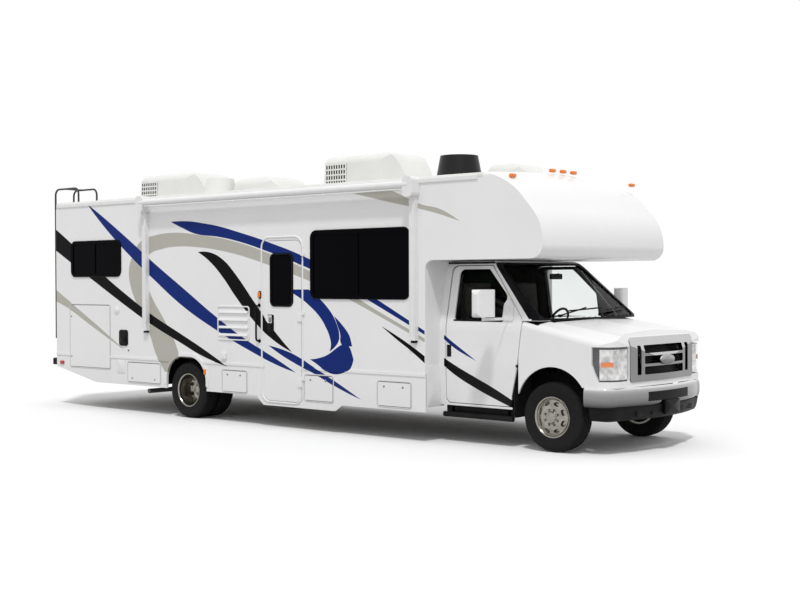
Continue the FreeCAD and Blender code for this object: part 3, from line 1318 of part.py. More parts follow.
def dashboard():
    front = fore(-500)
    points = [(front, 1000), (front, 1372), (front - 60, 1400, 30), (front - 270, 1330, 50),
              (front - 300, 1190, 40), (front - 200, 1010, 40)]
    top = plate("dash_top", "XZ", points, -CAB_SIDE + 100, CAB_SIDE - 100)
    column_tilt = Rotation(Vector(0, 1, 0), -65)
    ring = doc.addObject("Part::Torus", "steering_ring")
    ring.Radius1 = 190
    ring.Radius2 = 14
    ring.Placement = Placement(Vector(), column_tilt)
    place(ring, fore(-905), 460, 1312)
    column = doc.addObject("Part::Cylinder", "steering_column")
    column.Radius = 26
    column.Height = 330
    column.Placement = Placement(Vector(), Rotation(Vector(0, 1, 0), 115))
    place(column, fore(-905), 460, 1312)
    spoke = rod("steering_spoke", 16, "Y", (fore(-905), 460 - 180, 1312), 360)
    return fuse("dash_and_wheel", top, ring, column, spoke)


def running_boards():
    y = CAB_SIDE - 45
    bar = rod("side_bar", 30, "X", (fore(-1490), y, 312), 960)
    inner = CAB_SIDE - 130
    posts = []
    for i, x in enumerate((fore(-1400), fore(-620))):
        posts.append(block(f"side_bar_post_{i + 1}", (x - 15, x + 15), (inner, inner + 30), (300, 478)))
        posts.append(block(f"side_bar_foot_{i + 1}", (x - 15, x + 15), (inner, y), (300, 324)))
    left = fuse("left_board", bar, *posts)
    return apart("board_pair", left, mirrored("right_board", left))


def lamps():
    """The tail lamps on the rear wall."""
    pieces = []
    for i, y in enumerate((-1000, -560, 560, 1000)):
        pieces.append(block(f"tail_lamp_{i + 1}", (REAR_WALL - 22, REAR_WALL), (y - 75, y + 75), (790, 860)))
    return apart("lamp_set", *pieces)


node("cab_shell", cab_shell())
node("windshield", windshield())
node("right_cab_door", cab_door(-1, "right_door"))
node("left_cab_door", cab_door(1, "left_door"))
RIGHT_PANE = node("right_cab_glass", cab_glass())
node("left_cab_glass", mirrored("left_door_pane", RIGHT_PANE))
RIGHT_MIRROR = node("right_mirror", mirror())
node("left_mirror", mirrored("left_mirror_solid", RIGHT_MIRROR))
node("front_clip", front_clip())
node("hood", hood())
node("grille", grille())
node("headlamps", headlamps())
node("front_bumper", front_bumper())
node("cab_floor", cab_floor())
node("seats", seats())
node("dashboard", dashboard())
node("running_boards", running_boards())
node("lamps", lamps())


doc.recompute()
for thing in doc.Objects:
    if "Invalid" in thing.State or "Error" in thing.State:
        raise RuntimeError(f"{thing.Name} didn't build: {thing.State}")
os.makedirs("parts", exist_ok=True)
for name, thing in NODES.items():
    if thing.Shape.isNull() or not thing.Shape.isValid():
        raise RuntimeError(f"{name} has no sound shape")
    thing.Shape.exportStep(f"parts/{name}.step")
print(f"{len(NODES)} sub-parts")
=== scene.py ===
"""Looks of a motorhome on a cutaway van chassis: paint, stripes, wheels, trim, lamps, fittings."""

import math

import bmesh
import bpy
import numpy as np
from mathutils import Matrix, Vector


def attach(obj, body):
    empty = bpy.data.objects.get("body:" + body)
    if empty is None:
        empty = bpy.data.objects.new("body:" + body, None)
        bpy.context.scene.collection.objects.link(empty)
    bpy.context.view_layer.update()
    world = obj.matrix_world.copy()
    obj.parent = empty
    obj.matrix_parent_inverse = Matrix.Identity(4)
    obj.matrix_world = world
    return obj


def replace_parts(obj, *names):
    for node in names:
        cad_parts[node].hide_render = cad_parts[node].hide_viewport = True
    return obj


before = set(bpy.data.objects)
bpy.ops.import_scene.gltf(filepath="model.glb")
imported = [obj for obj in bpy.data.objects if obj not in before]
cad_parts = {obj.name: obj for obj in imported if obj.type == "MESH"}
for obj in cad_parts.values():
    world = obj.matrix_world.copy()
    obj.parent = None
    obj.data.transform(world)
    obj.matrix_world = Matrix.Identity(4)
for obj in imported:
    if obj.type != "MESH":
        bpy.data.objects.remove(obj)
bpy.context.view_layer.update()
TAU = 2 * math.pi

# Axles, height of the wheels' middles and half the coach's width, in metres
FRONT_AXLE = 3.9575
REAR_AXLE = -1.7065
AXLE_HEIGHT = 0.372
WALL = 1.257
SIDES = {"right": -1, "left": 1}


# Shapes: every piece is a grid of points, rows by columns, joined into quads


def quads(rows, columns, wrap_rows=False, wrap_columns=False):
    """Corner numbers of the quads of a grid; a wrapped side joins its last row or column to its first."""
    down = np.arange(rows if wrap_rows else rows - 1)
    across = np.arange(columns if wrap_columns else columns - 1)
    i, j = np.meshgrid(down, across, indexing="ij")
    here, below, after = i * columns, ((i + 1) % rows) * columns, (j + 1) % columns
    return np.stack([here + j, below + j, below + after, here + after], -1).reshape(-1, 4)


def sheet(points, wrap_rows=False, wrap_columns=False):
    """One grid of points as (points, faces)."""
    points = np.asarray(points, float)
    faces = quads(points.shape[0], points.shape[1], wrap_rows, wrap_columns)
    return points.reshape(-1, 3), faces


SMOOTH_BELOW = math.radians(32)
WELD = 2e-5


def placed(name, data):
    """A new object in the scene."""
    made = bpy.data.objects.new(name, data)
    bpy.context.scene.collection.objects.link(made)
    return made


def piece(name, shapes, material, body="root"):
    """One object from several (points, faces) shapes, welded, with outward faces, riding on a body."""
    starts = np.cumsum([0] + [len(shape[0]) for shape in shapes])
    points = np.concatenate([shape[0] for shape in shapes])
    faces = np.concatenate([shape[1] + start for shape, start in zip(shapes, starts)])
    mesh = bpy.data.meshes.new(name)
    mesh.from_pydata(points.tolist(), [], faces.tolist())
    mesh.validate()
    shape = bmesh.new()
    shape.from_mesh(mesh)
    bmesh.ops.remove_doubles(shape, verts=shape.verts, dist=WELD)
    bmesh.ops.dissolve_degenerate(shape, edges=shape.edges, dist=1e-6)
    bmesh.ops.recalc_face_normals(shape, faces=shape.faces)
    shape.to_mesh(mesh)
    shape.free()
    made = placed(name, mesh)
    mesh.materials.append(material)
    mesh.shade_smooth()
    mesh.set_sharp_from_angle(angle=SMOOTH_BELOW)
    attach(made, body)
    return made


def capped(rings):
    """A solid from a stack of closed rings, its ends closed by their own middles."""
    rings = np.asarray(rings, float)
    first = np.repeat(rings[:1].mean(1, keepdims=True), rings.shape[1], 1)
    last = np.repeat(rings[-1:].mean(1, keepdims=True), rings.shape[1], 1)
    return sheet(np.concatenate([first, rings, last]), wrap_columns=True)


def turned(profile, centre, axis=1, steps=48):
    """A profile of (distance along the axis, radius) turned once about an axis through the centre."""
    profile = np.asarray(profile, float)
    angle = np.arange(steps) * TAU / steps
    others = [k for k in range(3) if k != axis]
    points = np.zeros((len(profile), steps, 3))
    points[..., axis] = profile[:, :1]
    points[..., others[0]] = profile[:, 1:] * np.cos(angle)
    points[..., others[1]] = profile[:, 1:] * np.sin(angle)
    return sheet(points + centre, wrap_columns=True)


def four_quarters(steps):
    """Four quarter turns: their angles, and the signs of the corner that each belongs to."""
    quarter = np.linspace(0, math.pi / 2, steps)
    angle = np.concatenate([quarter + k * math.pi / 2 for k in range(4)])
    return angle, np.repeat([[1, 1], [-1, 1], [-1, -1], [1, -1]], steps, 0)


def cushion_box(low, high, radius, steps=5):
    """A box with round edges: a sphere's points, each octant moved out to its own corner."""
    low, high = np.asarray(low, float), np.asarray(high, float)
    around, signs = four_quarters(steps)
    quarter = around[:steps]
    up = np.concatenate([quarter - math.pi / 2, quarter])[:, None]
    sign_up = np.repeat([-1, 1], steps)[:, None]
    parts = np.cos(up) * np.cos(around), np.cos(up) * np.sin(around), np.sin(up)
    normal = np.stack(np.broadcast_arrays(*parts), -1)
    corner = np.stack(np.broadcast_arrays(signs[:, 0], signs[:, 1], sign_up), -1)
    half, middle = (high - low) / 2 - radius, (high + low) / 2
    return sheet(middle + corner * half + normal * radius, wrap_columns=True)


def round_outline(low, high, radius, steps=8):
    """A rounded rectangle: its points and outward directions, in its own plane."""
    low, high = np.asarray(low, float), np.asarray(high, float)
    angle, corner = four_quarters(steps)
    out = np.stack([np.cos(angle), np.sin(angle)], -1)
    return (low + high) / 2 + corner * ((high - low) / 2 - radius) + out * radius, out


def lift(flat, height, plane):
    """Flat points and a height as points in space; plane names the drawn axes."""
    a, b = ("XYZ".index(c) for c in plane)
    points = np.zeros(flat.shape[:-1] + (3,))
    points[..., a], points[..., b], points[..., 3 - a - b] = flat[..., 0], flat[..., 1], height
    return points


def carried(outline, section, plane):
    """A section of (outward offset, height) carried round an outline, as a grid of points."""
    points, out = outline
    return lift(points[None] + out[None] * section[:, None, :1], section[:, 1:], plane)


def moulding(outline, section, plane):
    """A closed section of (outward offset, height) carried round a closed outline."""
    return sheet(carried(outline, np.asarray(section, float), plane), True, True)


def slab(outline, low, high, plane, edge, steps=3):
    """A flat piece: an outline carried from one height to another, its edges rounded over."""
    turn = np.linspace(0, math.pi / 2, steps)
    inset = edge * (1 - np.sin(turn))
    rise = edge * (1 - np.cos(turn))
    sign = 1 if high > low else -1
    lower = np.stack([-inset, low + sign * rise], -1)
    upper = np.stack([-inset, high - sign * rise], -1)[::-1]
    return capped(carried(outline, np.concatenate([lower, upper]), plane))


def panel(u, v, radius, low, high, plane, edge=0.001):
    """A flat piece with round corners: a rounded rectangle over two spans, between two heights."""
    return slab(round_outline((u[0], v[0]), (u[1], v[1]), radius), low, high, plane, edge)


def leaf(front, depth):
    """A thin piece: a grid of points facing forwards, and its copy a little behind it."""
    return [sheet(front), sheet(front[:, ::-1] - [depth, 0, 0])]


def span(s, near, far):
    """A span across the vehicle on one side, lower value first."""
    return min(s * near, s * far), max(s * near, s * far)


def tube(path, radius, sides=14):
    """A round bar: a circle carried along a path on frames that turn with it, its ends closed."""
    path = np.asarray(path, float)
    along = np.gradient(path, axis=0)
    along /= np.linalg.norm(along, axis=1, keepdims=True)
    start = np.cross(along[0], [0.3, 0.2, 0.93])
    frames = [start / np.linalg.norm(start)]
    for direction in along[1:]:
        kept = frames[-1] - direction * np.dot(frames[-1], direction)
        frames.append(kept / np.linalg.norm(kept))
    first = np.array(frames)
    second = np.cross(along, first)
    angle = np.arange(sides) * TAU / sides
    sideways = first[:, None] * np.cos(angle)[:, None]
    upwards = second[:, None] * np.sin(angle)[:, None]
    return capped(path[:, None] + radius * (sideways + upwards))


def bent(points, radius, steps=6):
    """A path through points with its inner corners rounded to arcs."""
    points = np.asarray(points, float)
    route = [points[0]]
    for before, here, after in zip(points, points[1:], points[2:]):
        back, ahead = before - here, after - here
        reach = min(radius, np.linalg.norm(back) / 2, np.linalg.norm(ahead) / 2)
        a, b = here + back / np.linalg.norm(back) * reach, here + ahead / np.linalg.norm(ahead) * reach
        t = np.linspace(0, 1, steps)[:, None]
        route.extend((1 - t) ** 2 * a + 2 * t * (1 - t) * here + t ** 2 * b)
    route.append(points[-1])
    return np.array(route)


# Shader groups and materials


class Net:
    """Nodes of one shader tree, joined as they are added."""

    def __init__(self, tree):
        self.tree = tree

    def add(self, kind, values=(), **settings):
        made = self.tree.nodes.new("ShaderNode" + kind)
        for key, value in settings.items():
            setattr(made, key, value)
        for key, value in dict(values).items():
            self.feed(made.inputs[key], value)
        return made

    def feed(self, socket, value):
        if isinstance(value, bpy.types.NodeSocket):
            self.tree.links.new(value, socket)
        else:
            socket.default_value = value

    def math(self, operation, *values, clamp=False):
        made = self.add("Math", dict(enumerate(values)), operation=operation, use_clamp=clamp)
        return made.outputs[0]

    def ramp(self, value, low, high, to_low=0.0, to_high=1.0):
        values = {"Value": value, "From Min": low, "From Max": high, "To Min": to_low, "To Max": to_high}
        return self.add("MapRange", values).outputs[0]

    def mix(self, factor, a, b, way="MIX"):
        made = self.add("Mix", {0: factor, 6: a, 7: b}, data_type="RGBA", blend_type=way)
        return made.outputs[2]

    def noise(self, position, scale, detail=3.0, roughness=0.55):
        values = {"Vector": position, "Scale": scale, "Detail": detail, "Roughness": roughness}
        return self.add("TexNoise", values).outputs[0]

    def split(self, vector):
        return self.add("SeparateXYZ", {0: vector}).outputs


def group(name, inputs, outputs):
    """A shader node group with named sockets: (Net, its input sockets, its output node)."""
    tree = bpy.data.node_groups.new(name, "ShaderNodeTree")
    kinds = {"vector": "NodeSocketVector", "colour": "NodeSocketColor", "number": "NodeSocketFloat"}
    for way, sockets in (("INPUT", inputs), ("OUTPUT", outputs)):
        for key, kind in sockets:
            tree.interface.new_socket(key, in_out=way, socket_type=kinds[kind])
    return Net(tree), tree.nodes.new("NodeGroupInput").outputs, tree.nodes.new("NodeGroupOutput")


MOTTLE_TONE = (0.4, 0.39, 0.37, 1)
DUST_TONE = (0.33, 0.3, 0.26, 1)
DUST_REACH = (1.1, 0.1)


def build_finish():
    """Shared finish: mottled colour, dust that thins out upwards, uneven roughness, fine relief."""
    numbers = [(key, "number") for key in ("Mottle", "Scale", "Roughness", "Spread", "Dust")]
    net, given, out = group("finish", [("Position", "vector"), ("Colour", "colour"), *numbers],
                            [("Colour", "colour"), ("Roughness", "number"), ("Height", "number")])
    broad = net.noise(given["Position"], given["Scale"])
    fine = net.noise(given["Position"], net.math("MULTIPLY", given["Scale"], 9.0), 2.0)
    darker = net.math("MULTIPLY", net.ramp(broad, 0.3, 0.7), given["Mottle"])
    toned = net.mix(darker, given["Colour"], MOTTLE_TONE, "MULTIPLY")
    height = net.split(given["Position"])[2]
    low = net.math("POWER", net.ramp(height, *DUST_REACH), 2.0)
    uneven = net.math("MULTIPLY", low, net.ramp(fine, 0.25, 0.75, 0.4, 1.0))
    film = net.math("MULTIPLY", uneven, given["Dust"], clamp=True)
    net.feed(out.inputs["Colour"], net.mix(film, toned, DUST_TONE))
    rough = net.math("MULTIPLY_ADD", net.math("SUBTRACT", broad, 0.5), given["Spread"], given["Roughness"])
    net.feed(out.inputs["Roughness"], net.math("MULTIPLY_ADD", film, 0.4, rough, clamp=True))
    net.feed(out.inputs["Height"], fine)
    return net.tree


FINISH = build_finish()


def edge_curve(net, x, points, top=3.5):
    """Height of a drawn edge at a place, from a smooth curve through (place, height) points."""
    low, high = points[0][0], points[-1][0]
    curve = net.add("FloatCurve", {"Value": net.ramp(x, low, high)})
    line = curve.mapping.curves[0]
    for k, (place, height) in enumerate(points):
        spot = ((place - low) / (high - low), height / top)
        if k in (0, len(points) - 1):
            line.points[0 if k == 0 else -1].location = spot
        else:
            line.points.new(*spot)
    curve.mapping.update()
    return net.math("MULTIPLY", curve.outputs[0], top)


def between(net, value, low, high, soft=0.0015):
    """1 where a value lies between two others, with a thin soft edge."""
    above = net.ramp(net.math("SUBTRACT", value, low), -soft, soft)
    below = net.ramp(net.math("SUBTRACT", high, value), -soft, soft)
    return net.math("MULTIPLY", above, below)


def band(net, along, height, lower, upper):
    """1 inside a sweeping band between a lower and an upper drawn edge, over the length that both cover."""
    low, high = edge_curve(net, along, lower), edge_curve(net, along, upper)
    start, end = max(lower[0][0], upper[0][0]), min(lower[-1][0], upper[-1][0])
    return net.math("MULTIPLY", between(net, height, low, high), between(net, along, start, end))


# Stripes of the coach side, as (distance from the front axle, height) along their lower and upper edges
BLACK_BANDS = [
    ([(-8.65, 2.285), (-8.25, 2.09), (-7.51, 1.735), (-6.9, 1.45), (-6.42, 1.24), (-5.74, 0.985),
      (-5.37, 0.85), (-4.84, 0.72)],
     [(-8.65, 2.6), (-8.23, 2.365), (-7.49, 1.92), (-6.89, 1.605), (-6.42, 1.38), (-5.74, 1.105),
      (-5.37, 0.955), (-4.84, 0.72)]),
    ([(-5.42, 2.21), (-5.15, 2.06), (-4.9, 1.85), (-4.7, 1.645), (-4.3, 1.29), (-4.0, 1.1), (-3.64, 0.945)],
     [(-5.42, 2.21), (-5.15, 2.195), (-4.9, 2.09), (-4.7, 1.93), (-4.3, 1.53), (-4.0, 1.24), (-3.64, 0.945)]),
    ([(-2.18, 1.3), (-1.95, 1.155), (-1.735, 1.03), (-1.53, 0.895)],
     [(-2.18, 1.3), (-1.95, 1.197), (-1.735, 1.09), (-1.53, 0.975)]),
]
BLUE_BANDS = [
    ([(-7.88, 2.952), (-7.38, 2.54), (-6.81, 2.14), (-6.41, 1.89), (-5.73, 1.49), (-5.03, 1.175),
      (-4.5, 0.97), (-3.88, 0.77), (-3.58, 0.7)],
     [(-7.88, 2.952), (-7.5, 2.75), (-6.81, 2.355), (-6.41, 2.115), (-5.73, 1.735), (-5.03, 1.345),
      (-4.5, 1.085), (-3.88, 0.835), (-3.58, 0.7)]),
    ([(-5.98, 2.627), (-5.72, 2.531), (-5.47, 2.452), (-5.0, 2.398), (-4.66, 2.339), (-4.1, 2.2),
      (-3.46, 2.01), (-2.8, 1.775), (-2.22, 1.525), (-1.53, 1.215)],
     [(-5.98, 2.627), (-5.61, 2.622), (-5.29, 2.583), (-5.0, 2.537), (-4.66, 2.46), (-4.1, 2.32),
      (-3.46, 2.13), (-2.8, 1.87), (-2.22, 1.595), (-1.53, 1.26)]),
    ([(-4.07, 1.02), (-3.83, 0.905), (-3.56, 0.8), (-3.27, 0.7), (-2.85, 0.54), (-2.5, 0.43)],
     [(-4.07, 1.02), (-3.8, 0.973), (-3.56, 0.904), (-3.3, 0.79), (-2.97, 0.648), (-2.5, 0.43)]),
    ([(-3.344, 0.873), (-3.24, 0.826), (-3.09, 0.75), (-2.94, 0.709), (-2.76, 0.743), (-2.66, 0.8),
      (-2.618, 0.896)],
     [(-3.344, 0.873), (-3.18, 0.896), (-3.03, 0.945), (-2.9, 1.02), (-2.82, 1.06), (-2.7, 1.06),
      (-2.618, 0.896)]),
]
GREY_BANDS = [
    ([(-8.65, 1.53), (-8.26, 1.4), (-7.95, 1.264), (-7.6, 1.112), (-7.0, 0.854)],
     [(-8.65, 1.7), (-8.26, 1.508), (-7.95, 1.354), (-7.6, 1.18), (-7.0, 0.854)]),
    ([(-6.9, 1.955), (-6.6, 2.05), (-6.41, 2.209), (-6.18, 2.261), (-5.91, 2.289), (-5.36, 2.268),
      (-4.8, 2.193), (-4.16, 2.05), (-3.46, 1.857), (-2.73, 1.618), (-2.22, 1.417), (-1.53, 1.13)],
     [(-6.9, 1.955), (-6.77, 2.252), (-6.59, 2.396), (-6.3, 2.455), (-5.9, 2.478), (-5.36, 2.43),
      (-4.8, 2.353), (-4.16, 2.2), (-3.46, 1.985), (-2.73, 1.694), (-2.22, 1.468), (-1.53, 1.175)]),
    ([(-2.87, 2.901), (-2.49, 2.82), (-2.08, 2.729), (-1.57, 2.621), (-1.31, 2.557), (-1.02, 2.468)],
     [(-2.87, 2.935), (-2.49, 2.94), (-2.05, 2.86), (-1.57, 2.676), (-1.31, 2.616), (-1.02, 2.468)]),
]
# Parts of the arcs that stand nearly upright, as (height, distance from the front axle) up both edges
GREY_UPRIGHT = [
    ([(0.6, -6.12), (0.83, -6.31), (1.07, -6.43), (1.34, -6.6), (1.58, -6.77), (1.78, -6.87), (1.955, -6.9),
      (2.1, -6.87)],
     [(0.6, -5.7), (0.83, -5.81), (1.07, -5.94), (1.34, -6.16), (1.58, -6.37), (1.78, -6.49), (1.955, -6.56),
      (2.1, -6.57)]),
]
BLUE_UPRIGHT = [
    ([(0.977, -3.012), (1.053, -2.988), (1.159, -3.011), (1.264, -3.07), (1.391, -3.174), (1.508, -3.325),
      (1.64, -3.555), (1.72, -3.76)],
     [(0.977, -3.012), (1.022, -2.938), (1.099, -2.864), (1.184, -2.849), (1.311, -2.892), (1.458, -2.994),
      (1.64, -3.22), (1.72, -3.36)]),
    ([(1.05, -2.8), (1.1, -2.83), (1.185, -2.834), (1.29, -2.877), (1.406, -2.935)],
     [(1.05, -2.64), (1.1, -2.655), (1.185, -2.69), (1.292, -2.79), (1.406, -2.935)]),
]
# Stripes of the cab door
CAB_BLACK = [
    ([(-1.46, 0.86), (-1.3, 0.76), (-1.0, 0.62), (-0.8, 0.54), (-0.52, 0.44)],
     [(-1.46, 0.95), (-1.3, 0.87), (-1.0, 0.74), (-0.8, 0.655), (-0.52, 0.52)]),
]
CAB_BLUE = [
    ([(-1.46, 1.16), (-1.3, 1.06), (-1.15, 0.99), (-1.0, 0.93)],
     [(-1.46, 1.21), (-1.3, 1.11), (-1.15, 1.02), (-1.0, 0.93)]),
]


# Cab lines: heights and places where they start, and how far they lean back or in per metre up
SCREEN_FOOT, SCREEN_LEAN = 1.41, 1.136
PILLAR_FOOT, PILLAR_LEAN = -0.31, 0.896
CAB_BELT, SIDE_LEAN, INNER_HALF = 1.31, 0.205, 0.978


def screen_border(net, along, y, z):
    """1 on the black round the windshield: ahead of a line up the pillars, and on the cowl."""
    up = net.math("SUBTRACT", z, SCREEN_FOOT)
    ahead = net.math("MULTIPLY_ADD", up, PILLAR_LEAN, net.math("ADD", along, -PILLAR_FOOT))
    border = net.math("MULTIPLY", net.ramp(ahead, -0.001, 0.001), between(net, z, 1.405, 2.022))
    cowl = net.math("MULTIPLY", between(net, along, -0.17, -0.0925), between(net, z, 1.33, 1.45))
    cowl = net.math("MULTIPLY", cowl, net.math("LESS_THAN", net.math("ABSOLUTE", y), 0.8))
    foot = net.math("MULTIPLY", between(net, along, -0.27, -0.0925), between(net, z, 1.388, 1.45))
    return net.math("MAXIMUM", border, net.math("MAXIMUM", cowl, foot))


def cab_lining_and_shade(net, along, y, z):
    """1 inside the cab, behind its leaning sides, its roof and its bowed front: its dark lining, made
    near-black as painted shade.
    """
    rise = net.math("MAXIMUM", net.math("SUBTRACT", z, CAB_BELT), 0.0)
    wide = net.math("MULTIPLY_ADD", rise, -SIDE_LEAN, INNER_HALF)
    inside = net.math("LESS_THAN", net.math("ABSOLUTE", y), wide)
    inside = net.math("MULTIPLY", inside, net.math("LESS_THAN", z, 2.03))
    rise = net.math("MAXIMUM", net.math("SUBTRACT", z, SCREEN_FOOT), 0.0)
    front = net.math("MULTIPLY_ADD", rise, -SCREEN_LEAN, -0.125)
    front = net.math("MULTIPLY_ADD", net.math("MULTIPLY", y, y), -0.0714, front)
    return net.math("MULTIPLY", inside, net.math("LESS_THAN", along, front))


MASKS = [("Black", "number"), ("Blue", "number"), ("Grey", "number")]
SIDE_ORIGIN = 9.0


def leaning_band(net, along, z, rear, front):
    """1 between two nearly upright edges; places count from behind the vehicle, to be positive."""
    lows = [(height, place + SIDE_ORIGIN) for height, place in rear]
    highs = [(height, place + SIDE_ORIGIN) for height, place in front]
    shifted = net.math("ADD", along, SIDE_ORIGIN)
    low, high = edge_curve(net, z, lows, SIDE_ORIGIN), edge_curve(net, z, highs, SIDE_ORIGIN)
    inside = between(net, shifted, low, high)
    return net.math("MULTIPLY", inside, between(net, z, rear[0][0], rear[-1][0]))


def build_stripes(name, black, blue, grey, upright_blue, upright_grey, depth, screened=False):
    """Masks of the painted stripes, on surfaces farther than a depth from the middle plane."""
    net, given, out = group(name, [("Position", "vector")], MASKS)
    x, y, z = net.split(given["Position"])[:3]
    along = net.math("SUBTRACT", x, FRONT_AXLE)
    outside = net.math("GREATER_THAN", net.math("ABSOLUTE", y), depth)
    colours = (("Black", black, ()), ("Blue", blue, upright_blue), ("Grey", grey, upright_grey))
    for key, rows, upright in colours:
        masks = [band(net, along, z, *row) for row in rows]
        masks += [leaning_band(net, along, z, *row) for row in upright]
        total = 0.0
        for mask in masks:
            total = net.math("MAXIMUM", total, mask)
        shown = net.math("MULTIPLY", total, outside)
        # On the cab the black also takes the windshield border and the cab's inside; the inside's near-black
        # is dark lining and painted shade
        if screened and key == "Black":
            shown = net.math("MAXIMUM", shown, screen_border(net, along, y, z))
            shown = net.math("MAXIMUM", shown, cab_lining_and_shade(net, along, y, z))
        net.feed(out.inputs[key], shown)
    return net.tree


DRUM_X, DRUM_Y, DRUM_REACH = FRONT_AXLE - 1.785, -0.3, 0.3


def build_drum():
    """Mask of the dark tapered drum among the roof housings, by the distance from its upright axis."""
    net, given, out = group("roof_drum", [("Position", "vector")], MASKS)
    x, y = net.split(given["Position"])[:2]
    ahead = net.math("POWER", net.math("SUBTRACT", x, DRUM_X), 2.0)
    beside = net.math("POWER", net.math("SUBTRACT", y, DRUM_Y), 2.0)
    distance = net.math("SQRT", net.math("ADD", ahead, beside))
    net.feed(out.inputs["Black"], net.math("LESS_THAN", distance, DRUM_REACH))
    return net.tree


# Painted reflection on chrome: how light its colour is made, over how far its surface faces up
PAINTED_REFLECTION_TONES = [(-1, 0.03), (-0.45, 0.07), (-0.12, 0.17), (0.04, 0.3), (0.2, 0.46), (0.5, 0.8), (1, 0.98)]


def build_painted_reflection():
    """Painted reflection on bright metal, by how far it faces up: painted shade underneath, grey upright, a
    painted highlight on top.
    """
    net, given, out = group("painted_reflection_tone", [("Bright", "colour")], [("Colour", "colour")])
    up = net.split(net.add("NewGeometry").outputs["Normal"])[2]
    tone = edge_curve(net, up, PAINTED_REFLECTION_TONES, 1.0)
    net.feed(out.inputs["Colour"], net.mix(tone, (0.004, 0.004, 0.004, 1), given["Bright"]))
    return net.tree


PAINTED_REFLECTION = build_painted_reflection()
COACH_STRIPES = build_stripes("coach_stripes", BLACK_BANDS, BLUE_BANDS, GREY_BANDS, BLUE_UPRIGHT,
                              GREY_UPRIGHT, 1.2)
CAB_STRIPES_AND_SHADE = build_stripes("cab_stripes_and_shade", CAB_BLACK, CAB_BLUE, [], (), (), 0.9, True)
# This black serves the stripes, the windshield border and the painted shade inside the cab
BLACK_PAINT_AND_SHADE = (0.003, 0.003, 0.004, 1)
STRIPE_BLUE = (0.008, 0.025, 0.17, 1)
STRIPE_GREY = (0.46, 0.45, 0.4, 1)


def material(name, colour, roughness, mottle, scale, spread, dust, relief=0.0, stripes=None, shine=0.3,
             polished=False, **sockets):
    """A Principled surface with the shared finish; stripes is a group of masks laid over the colour."""
    made = bpy.data.materials.new(name)
    made.use_nodes = True
    net = Net(made.node_tree)
    shader = made.node_tree.nodes["Principled BSDF"]
    position = net.add("TexCoord").outputs["Object"]
    base = (*colour, 1.0)
    if stripes:
        masks = net.add("Group", {"Position": position}, node_tree=stripes)
        for key, paint in (("Grey", STRIPE_GREY), ("Black", BLACK_PAINT_AND_SHADE), ("Blue", STRIPE_BLUE)):
            base = net.mix(masks.outputs[key], base, paint)
    # Painted reflection: the colour is made dark underneath and bright on top by which way the surface faces
    if polished:
        base = net.add("Group", {"Bright": base}, node_tree=PAINTED_REFLECTION).outputs["Colour"]
    values = {"Position": position, "Colour": base, "Mottle": mottle, "Scale": scale, "Roughness": roughness,
              "Spread": spread, "Dust": dust}
    finish = net.add("Group", values, node_tree=FINISH)
    net.feed(shader.inputs["Base Color"], finish.outputs["Colour"])
    net.feed(shader.inputs["Roughness"], finish.outputs["Roughness"])
    shader.inputs["Specular IOR Level"].default_value = shine
    if relief:
        bump = net.add("Bump", {"Height": finish.outputs["Height"], "Strength": 0.25, "Distance": relief})
        net.feed(shader.inputs["Normal"], bump.outputs[0])
    for key, value in sockets.items():
        shader.inputs[key.replace("_", " ")].default_value = value
    return made


WHITE = (0.82, 0.82, 0.82)
# Name, colour, roughness, mottle and its scale, spread of the roughness, dust, relief
GELCOAT = material("gelcoat", WHITE, 0.22, 0.05, 1.3, 0.08, 0.1, stripes=COACH_STRIPES, shine=0.05)
VAN_PAINT = material("van_paint", WHITE, 0.25, 0.05, 2.0, 0.08, 0.1, stripes=CAB_STRIPES_AND_SHADE, shine=0.08)
ROOF = material("roof_sheet", (0.72, 0.72, 0.7), 0.6, 0.15, 3.0, 0.2, 0.0, 0.001)
DRUM = build_drum()
SHELL_WHITE = material("shell_white", (0.77, 0.77, 0.75), 0.4, 0.1, 3.0, 0.15, 0.0, 0.0005, stripes=DRUM)
TRIM_WHITE = material("trim_white", (0.8, 0.8, 0.8), 0.3, 0.08, 8.0, 0.1, 0.12)
FRAME_GREY = material("frame_grey", (0.62, 0.62, 0.62), 0.35, 0.1, 12.0, 0.1, 0.12)
ALUMINIUM = material("aluminium", (0.8, 0.8, 0.8), 0.3, 0.15, 20.0, 0.15, 0.1, Metallic=0.85)
STEEL = material("wheel_steel", (0.37, 0.355, 0.32), 0.22, 0.5, 14.0, 0.12, 0.1, Metallic=1.0)
# Chrome carries a painted reflection: dark underneath, bright on top
CHROME = material("chrome", (0.95, 0.95, 0.96), 0.06, 0.06, 10.0, 0.04, 0.08, polished=True, Metallic=1.0)
CAST = material("axle_steel", (0.1, 0.1, 0.1), 0.6, 0.5, 10.0, 0.2, 0.3, 0.002, Metallic=0.6)
CHASSIS = material("chassis_black", (0.009, 0.009, 0.01), 0.55, 0.5, 6.0, 0.2, 0.04, 0.001, shine=0.1)
PLASTIC = material("black_plastic", (0.009, 0.009, 0.01), 0.45, 0.4, 18.0, 0.12, 0.04, 0.0004, shine=0.08)
GLOSS_BLACK = material("gloss_black", (0.004, 0.004, 0.005), 0.2, 0.3, 10.0, 0.06, 0.0, shine=0.08)
LADDER_TUBE = material("ladder_tube", (0.03, 0.03, 0.032), 0.3, 0.3, 12.0, 0.1, 0.0, shine=0.3)
RUBBER = material("tyre_rubber", (0.011, 0.011, 0.012), 0.72, 0.4, 16.0, 0.15, 0.03, 0.0006, shine=0.1)
CLOTH = material("seat_cloth", (0.05, 0.047, 0.044), 0.9, 0.5, 30.0, 0.1, 0.0, 0.002, shine=0.1)
DASH = material("dash_plastic", (0.012, 0.012, 0.013), 0.6, 0.4, 20.0, 0.1, 0.0, 0.0005, shine=0.1)
